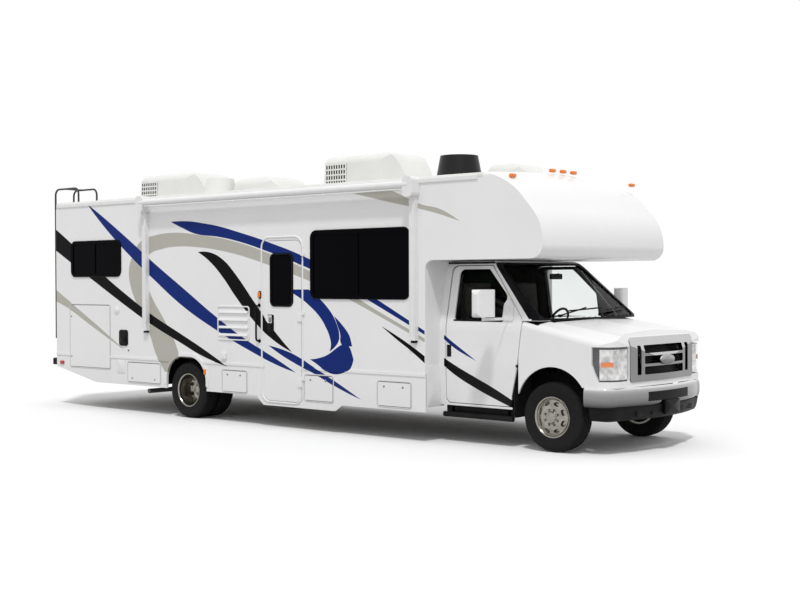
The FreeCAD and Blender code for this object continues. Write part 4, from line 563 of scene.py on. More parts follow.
FLOORING = material("floor_board", (0.24, 0.19, 0.14), 0.5, 0.4, 5.0, 0.1, 0.2)
DARK_GLASS = material("dark_glass", (0.002, 0.002, 0.003), 0.05, 0.2, 1.5, 0.03, 0.0, shine=0.02)
CAB_GLASS = material("cab_glass", (0.93, 0.95, 0.945), 0.02, 0.08, 1.5, 0.01, 0.0, Transmission_Weight=1.0,
                     IOR=1.06)
CLEAR = material("lamp_clear", (0.9, 0.92, 0.94), 0.03, 0.05, 20.0, 0.02, 0.0, Coat_Weight=1.0, Alpha=0.1)
REFLECTOR = material("lamp_reflector", (0.92, 0.92, 0.92), 0.15, 0.9, 16.0, 0.1, 0.0, Metallic=0.6)
AMBER = material("lamp_amber", (0.85, 0.2, 0.01), 0.15, 0.15, 40.0, 0.05, 0.02, Coat_Weight=0.5)
RED = material("lamp_red", (0.5, 0.012, 0.01), 0.15, 0.15, 40.0, 0.05, 0.02, Coat_Weight=0.5)

NODE_LOOKS = {
    GELCOAT: ["coach_right_wall", "coach_left_wall", "coach_rear_wall", "front_cap", "right_skirt",
              "left_skirt", "entry_door"] + [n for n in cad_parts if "_locker_" in n],
    VAN_PAINT: ["cab_bulkhead", "cab_shell", "right_cab_door", "left_cab_door", "front_clip", "hood"],
    ROOF: ["coach_roof"],
    SHELL_WHITE: ["roof_units"],
    TRIM_WHITE: ["awning", "right_mirror", "left_mirror"],
    CHASSIS: ["storage_bins", "chassis_frame", "rear_axle", "front_axle", "rear_bumper", "fuel_tank"],
    CAST: ["engine_block", "left_knuckle", "right_knuckle", "tie_rod", "exhaust"],
    PLASTIC: ["cab_floor", "running_boards"],
    DASH: ["dashboard"],
    STEEL: [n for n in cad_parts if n.endswith(("_rim", "_rims"))],
    RUBBER: [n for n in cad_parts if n.endswith(("_tyre", "_tyres"))],
    FLOORING: ["coach_floor"],
    DARK_GLASS: ["coach_windows", "entry_glass"],
    LADDER_TUBE: ["ladder"],
    CAB_GLASS: ["windshield", "right_cab_glass", "left_cab_glass"],
    CHROME: ["grille", "front_bumper"],
    CLEAR: ["headlamps"],
    CLOTH: ["seats"],
    RED: ["lamps"],
}
for look, names in NODE_LOOKS.items():
    for name in names:
        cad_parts[name].data.materials.clear()
        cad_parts[name].data.materials.append(look)


# Wheels

TYRE_R, PITCHES, STEPS_PER_PITCH = 0.372, 48, 8
TREAD_HALF, GROOVE_DEPTH, SIPE_DEPTH = 0.094, 0.0085, 0.005
# The tyre's side wall from bead to shoulder: distances across from its middle, and radii
WALL_ACROSS = (0.098, 0.1, 0.106, 0.1108, 0.1118, 0.1125, 0.1122, 0.1112, 0.111, 0.1088, 0.1082, 0.1055,
               0.1015)
WALL_RADIUS = (0.206, 0.214, 0.222, 0.238, 0.2385, 0.27, 0.298, 0.316, 0.318, 0.334, 0.3355, 0.349, 0.3585)


def revolved(distance, radius, centre, closed=False):
    """Grids of distance along the axle and of radius, turned about the axle."""
    turn = np.arange(radius.shape[1]) * TAU / radius.shape[1]
    points = [radius * np.cos(turn), np.broadcast_to(distance, radius.shape), radius * np.sin(turn)]
    return sheet(np.stack(points, -1) + centre, closed, True)


def tyre_shape(centre, outward):
    """One tyre: a section of (across, radius) turned round, its radius less in zigzag grooves and slots."""
    wall = np.stack([WALL_ACROSS, WALL_RADIUS], -1)
    width = np.linspace(-TREAD_HALF, TREAD_HALF, 53)
    crown = TYRE_R - 0.0035 * (width / TREAD_HALF) ** 2 - 0.004 * np.abs(width / TREAD_HALF) ** 8
    section = np.concatenate([wall * [-1, 1], np.stack([width, crown], -1), wall[::-1]])
    steps = PITCHES * STEPS_PER_PITCH
    phase = np.arange(steps) * PITCHES / steps
    zigzag = 0.0035 * (np.abs(phase % 1 * 2 - 1) * 2 - 1)
    place, lines = section[:, 0][:, None], np.array([-0.052, -0.018, 0.018, 0.052])
    groove = (np.abs(place[..., None] - zigzag[None, :, None] - lines) < 0.0042).any(-1)
    slots = (np.abs(place) > 0.056) & ((phase + 40 * np.abs(place)) % 1 < 0.26)
    sipes = (np.abs(np.abs(place) - 0.035) < 0.013) & ((phase + 30 * place) % 1 < 0.13)
    number = np.arange(len(section))
    tread = (number >= len(wall)) & (number < len(wall) + len(width))
    sunk = np.where(groove | slots, GROOVE_DEPTH, np.where(sipes, SIPE_DEPTH, 0.0)) * tread[:, None]
    bead = [np.full((1, steps), 0.2)]
    radius = np.concatenate([*bead, section[:, 1][:, None] - sunk, *bead])
    distance = outward * np.concatenate([[-0.09], section[:, 0], [0.09]])
    return revolved(distance[:, None], radius, centre, True)


HAND_HOLES, HOLE_DEPTH, DISC_STEPS = 8, 0.035, 288


def disc_shape(profile, centre, outward, size=(0.019, 0.03), at=0.155):
    """A pressed disc: a profile of (outward distance, radius) turned round, sunk in oval hand holes."""
    profile = np.asarray(profile, float)
    parts = [np.linspace(a, b, 9)[:-1] for a, b in zip(profile, profile[1:])]
    fine = np.concatenate(parts + [profile[-1:]])
    turn = np.arange(DISC_STEPS) * TAU / DISC_STEPS
    sway = (turn * HAND_HOLES / TAU) % 1 - 0.5
    along = sway[None] * TAU / HAND_HOLES * fine[:, 1:]
    gap = np.sqrt((along / size[1]) ** 2 + ((fine[:, 1:] - at) / size[0]) ** 2)
    sunk = HOLE_DEPTH * np.clip((1.12 - gap) / 0.2, 0, 1)
    return revolved((fine[:, :1] - sunk) * outward, np.broadcast_to(fine[:, 1:], sunk.shape), centre)


NUTS, NUT_RING, NUT_R = 8, 0.0825, 0.0155


def nuts(centre, outward, face, height=0.026):
    """Covered wheel nuts: six-sided turned caps on a ring."""
    made = []
    for k in range(NUTS):
        angle = (k + 0.5) * TAU / NUTS
        spot = centre + [NUT_RING * math.cos(angle), outward * face, NUT_RING * math.sin(angle)]
        tall = outward * height
        profile = [(0, 0), (0, NUT_R), (tall * 0.6, NUT_R), (tall * 0.85, NUT_R * 0.8), (tall, 0)]
        made.append(turned(profile, spot, steps=6))
    return made


def barrel(centre, outward):
    """The rim's ring: its section turned about the axle."""
    return turned([(outward * d, r) for d, r in BARREL], centre)


# Rim sections as (outward distance, radius)
BARREL = [(0.112, 0.219), (0.108, 0.2225), (0.1, 0.2225), (0.096, 0.207), (0.06, 0.204), (0.03, 0.196),
          (-0.05, 0.196), (-0.09, 0.207), (-0.1, 0.2225), (-0.108, 0.2225), (-0.108, 0.2), (-0.06, 0.188)]
FRONT_DISC = [(0.112, 0.219), (0.1085, 0.209), (0.1, 0.202), (0.09, 0.198), (0.088, 0.193), (0.096, 0.186),
              (0.101, 0.178), (0.117, 0.152), (0.129, 0.128), (0.1325, 0.114), (0.131, 0.066), (0.139, 0.062),
              (0.146, 0.058), (0.15, 0.045), (0.156, 0.036), (0.158, 0.0)]
REAR_DISC = [(0.112, 0.219), (0.1085, 0.21), (0.1, 0.204), (0.085, 0.201), (0.03, 0.197), (-0.03, 0.19),
             (-0.075, 0.178), (-0.106, 0.156), (-0.12, 0.128), (-0.122, 0.118), (-0.123, 0.062),
             (-0.06, 0.058), (-0.045, 0.056), (-0.03, 0.05), (-0.026, 0.038), (-0.024, 0.0)]
FRONT_HALF_TRACK, REAR_HALF_TRACK, TWIN_OFFSET = 0.8815, 0.985, 0.131


def front_wheel(side, s):
    """A front tyre, its covered rim with eight nuts, and the dark drum behind the hand holes."""
    centre = np.array([FRONT_AXLE, s * FRONT_HALF_TRACK, AXLE_HEIGHT])
    body = f"{side}_front_wheel"
    tread = piece(f"{side}_front_tread", [tyre_shape(centre, s)], RUBBER, body)
    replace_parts(tread, f"{side}_front_tyre")
    shapes = [barrel(centre, s), disc_shape(FRONT_DISC, centre, s)] + nuts(centre, s, 0.131)
    cover = piece(f"{side}_front_cover", shapes, STEEL, body)
    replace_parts(cover, f"{side}_front_rim")
    dark = [turned([(s * -0.06, 0.19), (s * 0.04, 0.19), (s * 0.045, 0.06)], centre)]
    piece(f"{side}_front_wheel_inside", dark, CHASSIS, body)


def rear_wheels(side, s):
    """A twin pair of rear tyres, the outer rim's dished disc with its nuts, and the inner rim's ring."""
    middle = np.array([REAR_AXLE, s * REAR_HALF_TRACK, AXLE_HEIGHT])
    inner, outer = middle - [0, s * TWIN_OFFSET, 0], middle + [0, s * TWIN_OFFSET, 0]
    body = f"{side}_rear_wheels"
    shapes = [tyre_shape(inner, s), tyre_shape(outer, s)]
    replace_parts(piece(f"{side}_rear_treads", shapes, RUBBER, body), f"{side}_rear_tyres")
    shapes = [barrel(outer, s), disc_shape(REAR_DISC, outer, s, (0.011, 0.022), 0.166)]
    shapes += nuts(outer, s, -0.122, height=0.034) + [barrel(inner, -s)]
    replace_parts(piece(f"{side}_rear_covers", shapes, STEEL, body), f"{side}_rear_rims")
    dark = [turned([(-s * 0.12, 0.19), (s * 0.005, 0.19), (s * 0.01, 0.05)], middle)]
    piece(f"{side}_rear_wheels_inside", dark, CHASSIS, body)


for side, s in SIDES.items():
    front_wheel(side, s)
    rear_wheels(side, s)


# Coach sides: frames, vents, latches and other fittings, given from the front axle as in a side view


def side_box(x0, x1, z0, z1, low, high, radius, s, edge=0.004):
    """A flat piece on a coach side between two depths, with round corners."""
    along, inner, outer = (FRONT_AXLE + x0, FRONT_AXLE + x1), s * (WALL + low), s * (WALL + high)
    return panel(along, (z0, z1), radius, inner, outer, "XZ", edge)


def side_frame(x0, x1, z0, z1, width, height, radius, s):
    """A half-round moulding just outside an opening of a coach side."""
    outline = round_outline((FRONT_AXLE + x0, z0), (FRONT_AXLE + x1, z1), radius)
    half, sunk = width / 2, s * (WALL - 0.002)
    turn = np.linspace(0, math.pi, 7)
    section = [(half - half * math.cos(a), s * (WALL + height * math.sin(a))) for a in turn]
    return moulding(outline, section + [(width, sunk), (0, sunk)], "XZ")


def side_bar(x0, x1, section, s):
    """A bar along a coach side: a section of (distance proud of the wall, height) between two places."""
    return capped([[[FRONT_AXLE + x, s * (WALL + d), z] for d, z in section] for x in (x0, x1)])


def at_side(x, z, depth, s):
    """A place on a coach side, by its height and how far proud of the wall."""
    return np.array([FRONT_AXLE + x, s * (WALL + depth), z])


def button(x, z, profile, s, steps=20):
    """A small round fitting on a coach side: a profile of (distance proud, radius) turned round."""
    return turned([(s * d, r) for d, r in profile], at_side(x, z, 0.0, s), steps=steps)


# Openings and fittings of the sides, as (rear, front, bottom, top)
WINDOWS = [(-3.30, -1.765, 1.63, 2.41), (-8.24, -7.095, 1.915, 2.39)]
LOCKERS = {"rear": (-8.30, -7.34, 0.586, 1.49), "1": (-6.93, -6.214, 0.426, 0.70),
           "2": (-4.94, -4.475, 0.40, 0.676), "3": (-3.43, -2.956, 0.371, 0.68),
           "4": (-2.238, -1.732, 0.38, 0.663)}
DOOR = (-4.15, -3.476, 0.33, 2.328)
DOOR_WINDOW = (-4.006, -3.644, 1.53, 2.143)
PORT = (-7.11, -6.934, 0.932, 1.14)
LOUVRE = (-5.01, -4.433, 1.08, 1.49)
# Sections as (distance proud of the wall, radius or height)
ROOF_RAIL = [(0.0, 2.915), (0.012, 2.915), (0.014, 2.93), (0.012, 2.962), (0.0, 2.968)]
HEM_BAR = [(0.07, 2.842), (0.13, 2.842), (0.14, 2.856), (0.06, 2.856)]
LATCH = [(0.001, 0.0), (0.001, 0.017), (0.005, 0.017), (0.007, 0.012), (0.007, 0)]
ROUND_PORT = [(0, 0), (0, 0.055), (0.008, 0.055), (0.012, 0.046), (0.012, 0.03), (0.02, 0.026), (0.02, 0)]
LOCK = [(0, 0), (0, 0.016), (0.006, 0.016), (0.007, 0)]
GRIP_FOOT = [(0, 0), (0, 0.024), (0.008, 0.022), (0.008, 0)]


def locker_doors(side, s):
    """Frames round the locker openings, two latches a door, and an edge moulding on the tall rear door."""
    keys = list(LOCKERS) if side == "right" else ["rear", "1", "4"]
    frames = [side_frame(*LOCKERS[key], 0.016, 0.006, 0.028, s) for key in keys]
    piece(f"{side}_locker_frames", frames, FRAME_GREY)
    for key in keys:
        x0, x1, z0, z1 = LOCKERS[key]
        z = z0 + 0.055 if key == "1" else z1 - 0.055
        spots = [(x0 + 0.1, z), (x1 - 0.12, z)]
        if key == "rear":
            spots = [(x0 + 0.035, z0 + 0.15), (x0 + 0.035, z1 - 0.17)]
        latches = []
        for x, z in spots:
            thumb = (x - 0.012, x + 0.012, z - 0.006, z + 0.006)
            latches += [button(x, z, LATCH, s), side_box(*thumb, 0.006, 0.011, 0.003, s, 0.001)]
        piece(f"{side}_locker_{key}_latches", latches, CHROME, f"{side}_locker_{key}_body")
        if key == "rear":
            inset = side_frame(x0 + 0.018, x1 - 0.03, z0 + 0.018, z1 - 0.018, 0.01, 0.004, 0.03, s)
            piece(f"{side}_locker_rear_edge", [inset], TRIM_WHITE, f"{side}_locker_rear_body")


for side, s in SIDES.items():
    frames = []
    for x0, x1, z0, z1 in WINDOWS:
        frames.append(side_frame(x0 - 0.014, x1 + 0.014, z0 - 0.014, z1 + 0.014, 0.012, 0.016, 0.085, s))
    piece(f"{side}_window_frames", frames, GLOSS_BLACK)
    locker_doors(side, s)
    piece(f"{side}_roof_rail", [side_bar(-8.6, -0.78, ROOF_RAIL, s)], TRIM_WHITE)
    piece(f"{side}_rear_marker", [side_box(-8.56, -8.46, 0.608, 0.66, 0, 0.014, 0.02, s)], RED)
    piece(f"{side}_front_marker", [side_box(-5.288, -5.252, 0.598, 0.672, 0, 0.026, 0.013, s)], AMBER)
    port = [side_box(*PORT, 0, 0.012, 0.03, s), side_frame(*PORT, 0.008, 0.016, 0.03, s)]
    piece(f"{side}_port", port, PLASTIC)
    piece(f"{side}_port_flap", [side_box(-7.085, -6.96, 0.96, 1.055, 0.01, 0.02, 0.015, s)], GLOSS_BLACK)
    ports = [side_box(-7.18, -7.0, 0.537, 0.728, 0, 0.005, 0.02, s),
             side_box(-4.945, -4.855, 0.815, 0.905, 0, 0.03, 0.01, s),
             button(-7.18, 1.421, ROUND_PORT, s, 32)]
    piece(f"{side}_ports", ports, TRIM_WHITE)
    piece(f"{side}_lock", [button(-6.916, 0.865, LOCK, s)], CHROME)


def louvre(s):
    """A framed vent: four sloping slats over a painted panel."""
    made = [side_frame(*LOUVRE, 0.018, 0.014, 0.03, s)]
    for k in range(4):
        z = LOUVRE[2] + 0.035 + k * 0.098
        slat = [(0.0, z), (0.02, z + 0.008), (0.01, z + 0.034), (0.0, z + 0.036)]
        made.append(side_bar(LOUVRE[0] + 0.012, LOUVRE[1] - 0.012, slat, s))
    return made


piece("louvre", louvre(-1), TRIM_WHITE)

# Entry door: surround, edge moulding, window frame and handle; grab handle and porch lamp beside it
x0, x1, z0, z1 = DOOR
piece("entry_surround", [side_frame(x0 - 0.028, x1, z0, z1 + 0.028, 0.026, 0.012, 0.12, -1)], TRIM_WHITE)
door_edge = side_frame(x0 + 0.02, x1 - 0.02, z0 + 0.02, z1 - 0.02, 0.01, 0.004, 0.1, -1)
piece("entry_door_edge", [door_edge], TRIM_WHITE, "entry_door_body")
piece("entry_window_frame", [side_frame(*DOOR_WINDOW, 0.028, 0.02, 0.05, -1)], GLOSS_BLACK, "entry_door_body")
handle = [side_box(-4.085, -3.965, 1.19, 1.405, 0.0, 0.012, 0.02, -1),
          side_box(-4.062, -3.99, 1.21, 1.30, 0.012, 0.03, 0.014, -1)]
piece("entry_handle", handle, PLASTIC, "entry_door_body")
lever = side_box(-4.045, -4.005, 1.315, 1.385, 0.012, 0.026, 0.012, -1)
piece("entry_handle_lever", [lever], CHROME, "entry_door_body")
GRIP_X = -4.235
GRIP_BENDS = [(1.07, 0.0), (1.08, 0.06), (1.51, 0.06), (1.52, 0.0)]
grip = tube(bent([at_side(GRIP_X, z, depth, -1) for z, depth in GRIP_BENDS], 0.05), 0.012)
feet = [button(GRIP_X, z, GRIP_FOOT, -1) for z in (1.07, 1.52)]
piece("grab_handle", [grip] + feet, GLOSS_BLACK)
piece("porch_lamp_base", [side_box(-4.245, -4.185, 1.60, 1.70, 0.0, 0.015, 0.025, -1)], PLASTIC)
lens = cushion_box(at_side(-4.235, 1.615, 0.04, -1), at_side(-4.195, 1.685, 0.012, -1), 0.012)
piece("porch_lamp", [lens], AMBER)

# Awning: ribs and feet of the arms, the hem bar under the roll
AWNING_ARMS = (-6.486, -1.663)
for x in AWNING_ARMS:
    ribs = []
    for rear, front in ((x - 0.03, x - 0.018), (x + 0.018, x + 0.03)):
        ribs.append(side_box(rear, front, 1.2, 2.74, 0.062, 0.067, 0.004, -1, 0.001))
    piece(f"awning_arm_ribs_{abs(x):.0f}", ribs, TRIM_WHITE)
    foot = side_box(x - 0.03, x + 0.03, 1.12, 1.16, 0.0, 0.05, 0.01, -1)
    piece(f"awning_foot_{abs(x):.0f}", [foot], PLASTIC)
piece("awning_hem_bar", [side_bar(-6.42, -1.73, HEM_BAR, -1)], ALUMINIUM)


# Roof

COOLER_FOOT = 3.0
COOLERS = (("rear_cooler", -7.82, 3.40), ("front_cooler", -3.99, 3.43))
CLEARANCE_LAMPS = [(-0.428, -1.1, 2.945), (-0.56, -0.15, 3.063), (-0.517, 0, 3.058), (-0.475, 0.15, 3.051),
                   (-0.274, 1.1, 2.951)]


def cooler_grille(rear, top):
    """Dark sheets in the openings, painted shade inside them, and white bars on the rear face and rear flanks
    of a roof housing.
    """
    x, low, high = FRONT_AXLE + rear, COOLER_FOOT + 0.05, top - 0.11
    upright = (COOLER_FOOT + 0.06, top - 0.09)
    # These dark sheets are painted shade in the openings
    dark = [panel((-0.3, 0.3), upright, 0.03, x + 0.02, x - 0.004, "YZ", 0.002)]
    bars = []
    for k in range(13):
        y = -0.29 + k * 0.0483
        bars.append(panel((y - 0.006, y + 0.006), upright, 0.004, x, x - 0.01, "YZ"))
    for z in (COOLER_FOOT + 0.06, (COOLER_FOOT + top) / 2 - 0.02, top - 0.1):
        bars.append(panel((-0.31, 0.31), (z - 0.012, z + 0.012), 0.006, x, x - 0.012, "YZ"))
    for s in SIDES.values():
        dark.append(panel((x + 0.05, x + 0.4), (low, high), 0.02, s * 0.34, s * 0.353, "XZ", 0.002))
        for z in np.linspace(low, high, 5):
            bars.append(panel((x + 0.045, x + 0.405), (z - 0.01, z + 0.01), 0.003, s * 0.35, s * 0.358, "XZ"))
        for place in np.linspace(x + 0.05, x + 0.4, 9):
            bars.append(panel((place - 0.009, place + 0.009), (low, high), 0.003, s * 0.35, s * 0.357, "XZ"))
    return dark, bars


for name, rear, top in COOLERS:
    dark, bars = cooler_grille(rear, top)
    # The dark sheets are painted shade in the housing's openings
    piece(f"{name}_openings", dark, PLASTIC)
    piece(f"{name}_bars", bars, SHELL_WHITE)
for k, (x, y, z) in enumerate(CLEARANCE_LAMPS):
    spot, half = np.array([FRONT_AXLE + x, y, z]), np.array([0.025, 0.045, 0.02])
    lamp = cushion_box(spot - half, spot + half, 0.014)
    piece(f"clearance_lamp_{k + 1}", [lamp], AMBER)

# Front bumper: a rounded chrome bar with a slot, a black valance along the same bow, and a plate holder

# The bumper and grille fall back by the square of the distance across, over this
BOW = 5.2
BAR_HEIGHT, BAR_HALF = 0.605, 0.1
SLOT_SECTION = [(-0.02, 0.545), (0.0015, 0.55), (0.0018, 0.6), (0.0015, 0.648), (-0.02, 0.652)]
VALANCE_SECTION = [(-0.03, 0.505), (0.0, 0.505), (-0.003, 0.46), (-0.012, 0.42), (-0.022, 0.385),
                   (-0.04, 0.36), (-0.06, 0.362), (-0.05, 0.4)]
LIP_SECTION = [(-0.02, 0.5), (0.004, 0.498), (0.004, 0.488), (-0.02, 0.486)]


def bow(face, half, back, corner, steps=9):
    """The bumper's line in plan, with its outward directions: straight ends, round corners, shallow bow."""
    y = np.linspace(-half + corner, half - corner, 41)
    front = np.stack([face - y ** 2 / BOW, y], -1)
    t = np.linspace(0, 1, steps)[:, None]
    knee = np.array([front[0, 0] - 0.01, -half])
    start = np.array([front[0, 0] - corner, -half])
    bend = (1 - t) ** 2 * start + 2 * t * (1 - t) * knee + t ** 2 * front[0]
    first = np.concatenate([[[back, -half]], bend])
    path = np.concatenate([first, front[1:-1], (first * [1, -1])[::-1]])
    way = np.gradient(path, axis=0)
    way /= np.linalg.norm(way, axis=1, keepdims=True)
    return path, np.stack([way[:, 1], -way[:, 0]], -1)


def along_bow(line, section, part=slice(None)):
    """A closed section of (outward offset, height) carried along the bumper's line, its ends closed."""
    path, out = line[0][part], line[1][part]
    section = np.asarray(section, float)
    flat = path[:, None] + out[:, None] * section[None, :, :1]
    rings = np.concatenate([flat, np.broadcast_to(section[None, :, 1:], flat.shape[:2] + (1,))], -1)
    return capped(rings)


turn = np.linspace(-math.pi / 2, math.pi / 2, 15)
outer = [(-0.03 + 0.03 * math.cos(a) ** 0.6, BAR_HEIGHT + BAR_HALF * math.sin(a)) for a in turn]
bar_line = bow(FRONT_AXLE + 0.862, 1.03, FRONT_AXLE + 0.412, 0.19)
chrome_bar = along_bow(bar_line, outer + [(-0.06, 0.7), (-0.06, 0.51)])
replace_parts(piece("bumper_bar", [chrome_bar], CHROME), "front_bumper")
middle = np.abs(bar_line[0][:, 1]) < 0.44
piece("bumper_slot", [along_bow(bar_line, SLOT_SECTION, middle)], PLASTIC)
low_line = bow(FRONT_AXLE + 0.845, 0.985, FRONT_AXLE + 0.45, 0.18)
pieces = [along_bow(low_line, VALANCE_SECTION), along_bow(low_line, LIP_SECTION)]
for y in (-0.5, -0.25, 0.25, 0.5):
    x = FRONT_AXLE + 0.838 - y ** 2 / BOW
    pieces.append(panel((y - 0.09, y + 0.09), (0.40, 0.45), 0.012, x - 0.03, x, "YZ", 0.003))
piece("valance", pieces, PLASTIC)
plate_face = FRONT_AXLE + 0.878
holder = [panel((-0.155, 0.155), (0.393, 0.548), 0.012, FRONT_AXLE + 0.84, plate_face, "YZ", 0.003)]
for y in (-0.0889, 0.0889):
    for z in (0.4102, 0.5308):
        screw = [(0, 0), (0, 0.009), (0.002, 0.007), (0.002, 0)]
        holder.append(turned(screw, [plate_face, y, z], axis=0, steps=12))
piece("plate_holder", holder, GLOSS_BLACK)

# Grille backing with mesh, blank oval badge plate
GRILLE_BEND = 0.965
y = np.linspace(-0.655, 0.655, 41)
z = np.linspace(0.762, 1.215, 9)
rise = z - GRILLE_BEND
lean = np.where(rise > 0, 0.30 * rise + 0.9 * rise ** 2, 0.0)[:, None]
grid = np.stack(np.broadcast_arrays(FRONT_AXLE + 0.735 - y[None] ** 2 / BOW - lean, y[None], z[:, None]), -1)
piece("grille_backing", leaf(grid, 0.012), PLASTIC)
bars = []
for k in range(27):
    height = 0.775 + k * 0.0165
    x = FRONT_AXLE + 0.742 - y ** 2 / BOW - max(0, height - GRILLE_BEND) * 0.35
    bars.append(tube(np.stack([x, y, np.full(len(y), height)], -1), 0.0035, 6))
piece("grille_mesh", bars, GLOSS_BLACK)
turn = np.arange(48) * TAU / 48
circle = np.stack([np.cos(turn), np.sin(turn)], -1)
oval = circle * [0.15, 0.055] + [0, 0.97]
piece("badge_plate", [slab((oval, circle), FRONT_AXLE + 0.78, FRONT_AXLE + 0.82, "YZ", 0.004)], CHROME)


# Headlamp reflectors behind the clear lenses

LAMP_BOWLS = (0.765, 0.9)
LAMP_HEIGHT = 0.95


def lamp_face(y, z):
    """How far forward the lens stands: a straight part, then a round corner, less the lean above."""
    wide = np.abs(y)
    corner = 0.5313 + np.sqrt(np.maximum(0.04 - np.maximum(wide - 0.8, 0) ** 2, 0))
    plan = np.where(wide < 0.817, 0.8 - 0.085 * wide, corner)
    rise = np.maximum(z - GRILLE_BEND, 0)
    return np.minimum(plan, 0.8 - 0.3 * rise - 0.9 * rise ** 2)


def reflector(s):
    """Two bowls behind the lens, their depth a product of two parabolas, with fine upright flutes."""
    y, z = np.meshgrid(np.linspace(0.69, 0.988, 120), np.linspace(0.79, 1.105, 29))
    depth = np.zeros(y.shape)
    for middle in LAMP_BOWLS:
        bowl = (1 - ((y - middle) / 0.066) ** 2).clip(0) * (1 - ((z - LAMP_HEIGHT) / 0.15) ** 2).clip(0)
        depth = np.maximum(depth, 0.04 * bowl ** 0.6)
    x = lamp_face(y, z) - 0.014 - depth + 0.0012 * np.cos(y * TAU / 0.014)
    return np.stack([FRONT_AXLE + x, s * y, z], -1)


for side, s in SIDES.items():
    piece(f"{side}_lamp_reflector", leaf(reflector(s), 0.004), REFLECTOR)
    y, z = np.meshgrid(np.linspace(0.9, 0.985, 18), np.linspace(0.925, 0.975, 5))
    front = np.stack([FRONT_AXLE + lamp_face(y, z) - 0.008, s * y, z], -1)
    piece(f"{side}_lamp_amber", leaf(front, 0.004), AMBER)

# Panels that close the coach's lower front corners beside the cab
for side, s in SIDES.items():
    rear = FRONT_AXLE - 1.519
    corner = panel(span(s, 0.93, 1.235), (0.40, 0.87), 0.01, rear, rear + 0.007, "YZ", 0.002)
    piece(f"{side}_corner_panel", [corner], TRIM_WHITE)


# Windshield fittings

# Wipers: where the arm starts and ends across the screen, and the span of its blade
WIPERS = ((-0.66, -0.06, (-0.42, 0.28)), (0.1, 0.66, (0.34, 0.84)))
SCREEN_BOW = 14


def screen(y, z, proud):
    """A place on the bowed windshield, given across and up, and how far proud of it."""
    x = FRONT_AXLE - 0.1 - y ** 2 / SCREEN_BOW - SCREEN_LEAN * (z - 1.423)
    return np.stack([x + 0.66 * proud, y, z + 0.75 * proud], -1)


wipers = []
for pivot, tip, rest in WIPERS:
    y = np.linspace(pivot, tip, 9)
    arm = screen(y, 1.425 + 0.075 * (y - pivot) / (tip - pivot), 0.02)
    y = np.linspace(rest[0], rest[1], 13)
    blade = screen(y, 1.475 + 0.035 * (y - rest[0]), 0.012)
    wipers += [tube(arm, 0.008, 8), tube(blade, 0.008, 8), tube(blade + [0.006, 0, 0.006], 0.004, 6),
               cushion_box(arm[0] - [0.02, 0.02, 0.02], arm[0] + [0.02, 0.02, 0.012], 0.01)]
piece("wipers", wipers, PLASTIC)
rear_view = [cushion_box([FRONT_AXLE - 0.70, -0.02, 1.83], [FRONT_AXLE - 0.67, 0.22, 1.895], 0.014),
             tube([[FRONT_AXLE - 0.68, 0.1, 1.87], [FRONT_AXLE - 0.65, 0.1, 1.9]], 0.008)]
piece("inside_mirror", rear_view, PLASTIC)

# Cab sides: door handles, window seals, rocker panels, splash guards
for side, s in SIDES.items():
    body = f"{side}_door_body"
    inner, outer = span(s, 0.985, 1.008)
    grip = cushion_box([FRONT_AXLE - 1.415, inner, 0.965], [FRONT_AXLE - 1.355, outer, 1.10], 0.008)
    piece(f"{side}_door_handle", [grip], PLASTIC, body)
    along = (FRONT_AXLE - 1.33, FRONT_AXLE - 0.65)
    seal = panel(along, (1.368, 1.386), 0.006, s * 0.975, s * 0.992, "XZ", 0.002)
    piece(f"{side}_window_seal", [seal], PLASTIC, body)
    along = (FRONT_AXLE - 1.50, FRONT_AXLE - 0.50)
    rocker = panel(along, (0.325, 0.47), 0.02, s * 0.84, s * 0.9, "XZ", 0.006)
    piece(f"{side}_rocker", [rocker], PLASTIC)
    rear = FRONT_AXLE - 0.512
    guard = panel(span(s, 0.72, 0.975), (0.33, 0.80), 0.03, rear, rear + 0.014, "YZ", 0.003)
    piece(f"{side}_splash_guard", [guard], PLASTIC)


# Stage, light and camera

FLOOR_RINGS = [0.001, 8, 20, 60]
FLOOR_FADE = (7.0, 14.0)
SUN_FROM, SUN_ENERGY, SUN_ANGLE = (0.42, -0.5, 1.15), 1.5, math.radians(5)
# The camera: its place, yaw, pitch and roll in radians, focal length in pixels of the photograph
CAMERA_PLACE = (11.503, -12.1414, 1.8169)
CAMERA_TURNS = (2.28515, -0.01487, -0.00335)
CAMERA_FOCAL, PHOTO_WIDTH, SENSOR_MM = 1266.9, 800, 36


def seen_rays(net):
    """1 for rays that show the background: from the camera, mirrored and through glass."""
    paths = net.add("LightPath").outputs
    mirrored = net.math("MAXIMUM", paths["Is Glossy Ray"], paths["Is Transmission Ray"])
    return net.math("MAXIMUM", paths["Is Camera Ray"], mirrored)


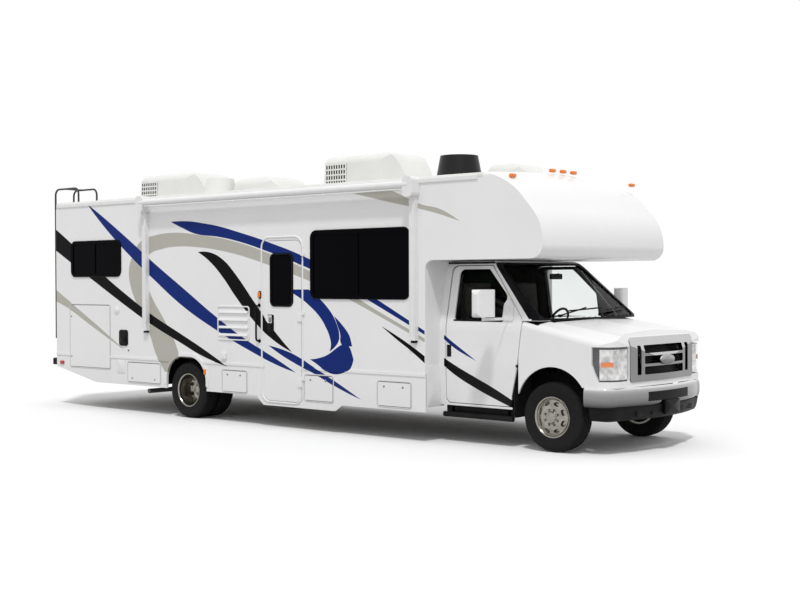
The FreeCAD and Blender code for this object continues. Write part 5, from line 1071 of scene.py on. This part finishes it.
def stage():
    """A wide pale floor that fades to white, a soft sun and a pale world."""
    angle = np.arange(96) * TAU / 96
    radius = np.array(FLOOR_RINGS)[:, None]
    rings = np.stack([radius * np.cos(angle), radius * np.sin(angle), np.full((4, 96), -0.0005)], -1)
    corners, faces = sheet(rings, wrap_columns=True)
    mesh = bpy.data.meshes.new("floor")
    mesh.from_pydata(corners.tolist(), [], faces.tolist())
    floor = placed("floor", mesh)
    ground = bpy.data.materials.new("floor")
    ground.use_nodes = True
    net = Net(ground.node_tree)
    shader = ground.node_tree.nodes["Principled BSDF"]
    position = net.add("TexCoord").outputs["Object"]
    pale = net.mix(net.noise(position, 0.6), (0.86, 0.86, 0.86, 1), (0.9, 0.9, 0.9, 1))
    net.feed(shader.inputs["Base Color"], net.mix(seen_rays(net), (0.5, 0.5, 0.5, 1), pale))
    shader.inputs["Roughness"].default_value = 0.9
    shader.inputs["Specular IOR Level"].default_value = 0.1
    glow = net.add("Emission", {"Color": (1, 1, 1, 1), "Strength": 1.0})
    distance = net.add("VectorMath", {0: position}, operation="LENGTH").outputs[1]
    fade = net.math("MULTIPLY", net.ramp(distance, *FLOOR_FADE), seen_rays(net))
    blend = net.add("MixShader", {0: fade, 1: shader.outputs[0], 2: glow.outputs[0]})
    net.feed(ground.node_tree.nodes["Material Output"].inputs["Surface"], blend.outputs[0])
    mesh.materials.append(ground)
    sun = placed("sun", bpy.data.lights.new("sun", "SUN"))
    sun.data.energy, sun.data.angle = SUN_ENERGY, SUN_ANGLE
    sun.rotation_euler = Vector(SUN_FROM).to_track_quat("Z", "Y").to_euler()
    world = bpy.data.worlds.new("world")
    bpy.context.scene.world = world
    world.use_nodes = True
    net = Net(world.node_tree)
    background = world.node_tree.nodes["Background"]
    background.inputs["Color"].default_value = (1, 1, 1, 1)
    net.feed(background.inputs["Strength"], net.ramp(seen_rays(net), 0.0, 1.0, 0.82, 1.0))


def place_camera():
    """The photograph's camera, from its place, turns and focal length."""
    yaw, pitch, roll = CAMERA_TURNS
    ahead = Vector((math.cos(yaw) * math.cos(pitch), math.sin(yaw) * math.cos(pitch), math.sin(pitch)))
    right = ahead.cross(Vector((0, 0, 1))).normalized()
    up = right.cross(ahead)
    right, up = right * math.cos(roll) + up * math.sin(roll), up * math.cos(roll) - right * math.sin(roll)
    camera = placed("camera", bpy.data.cameras.new("camera"))
    camera.data.sensor_width = SENSOR_MM
    camera.data.lens = CAMERA_FOCAL * SENSOR_MM / PHOTO_WIDTH
    turn = Matrix((right, up, -ahead)).transposed().to_4x4()
    camera.matrix_world = Matrix.Translation(CAMERA_PLACE) @ turn
    bpy.context.scene.camera = camera


stage()
place_camera()
bpy.context.scene.view_settings.view_transform = "Standard"
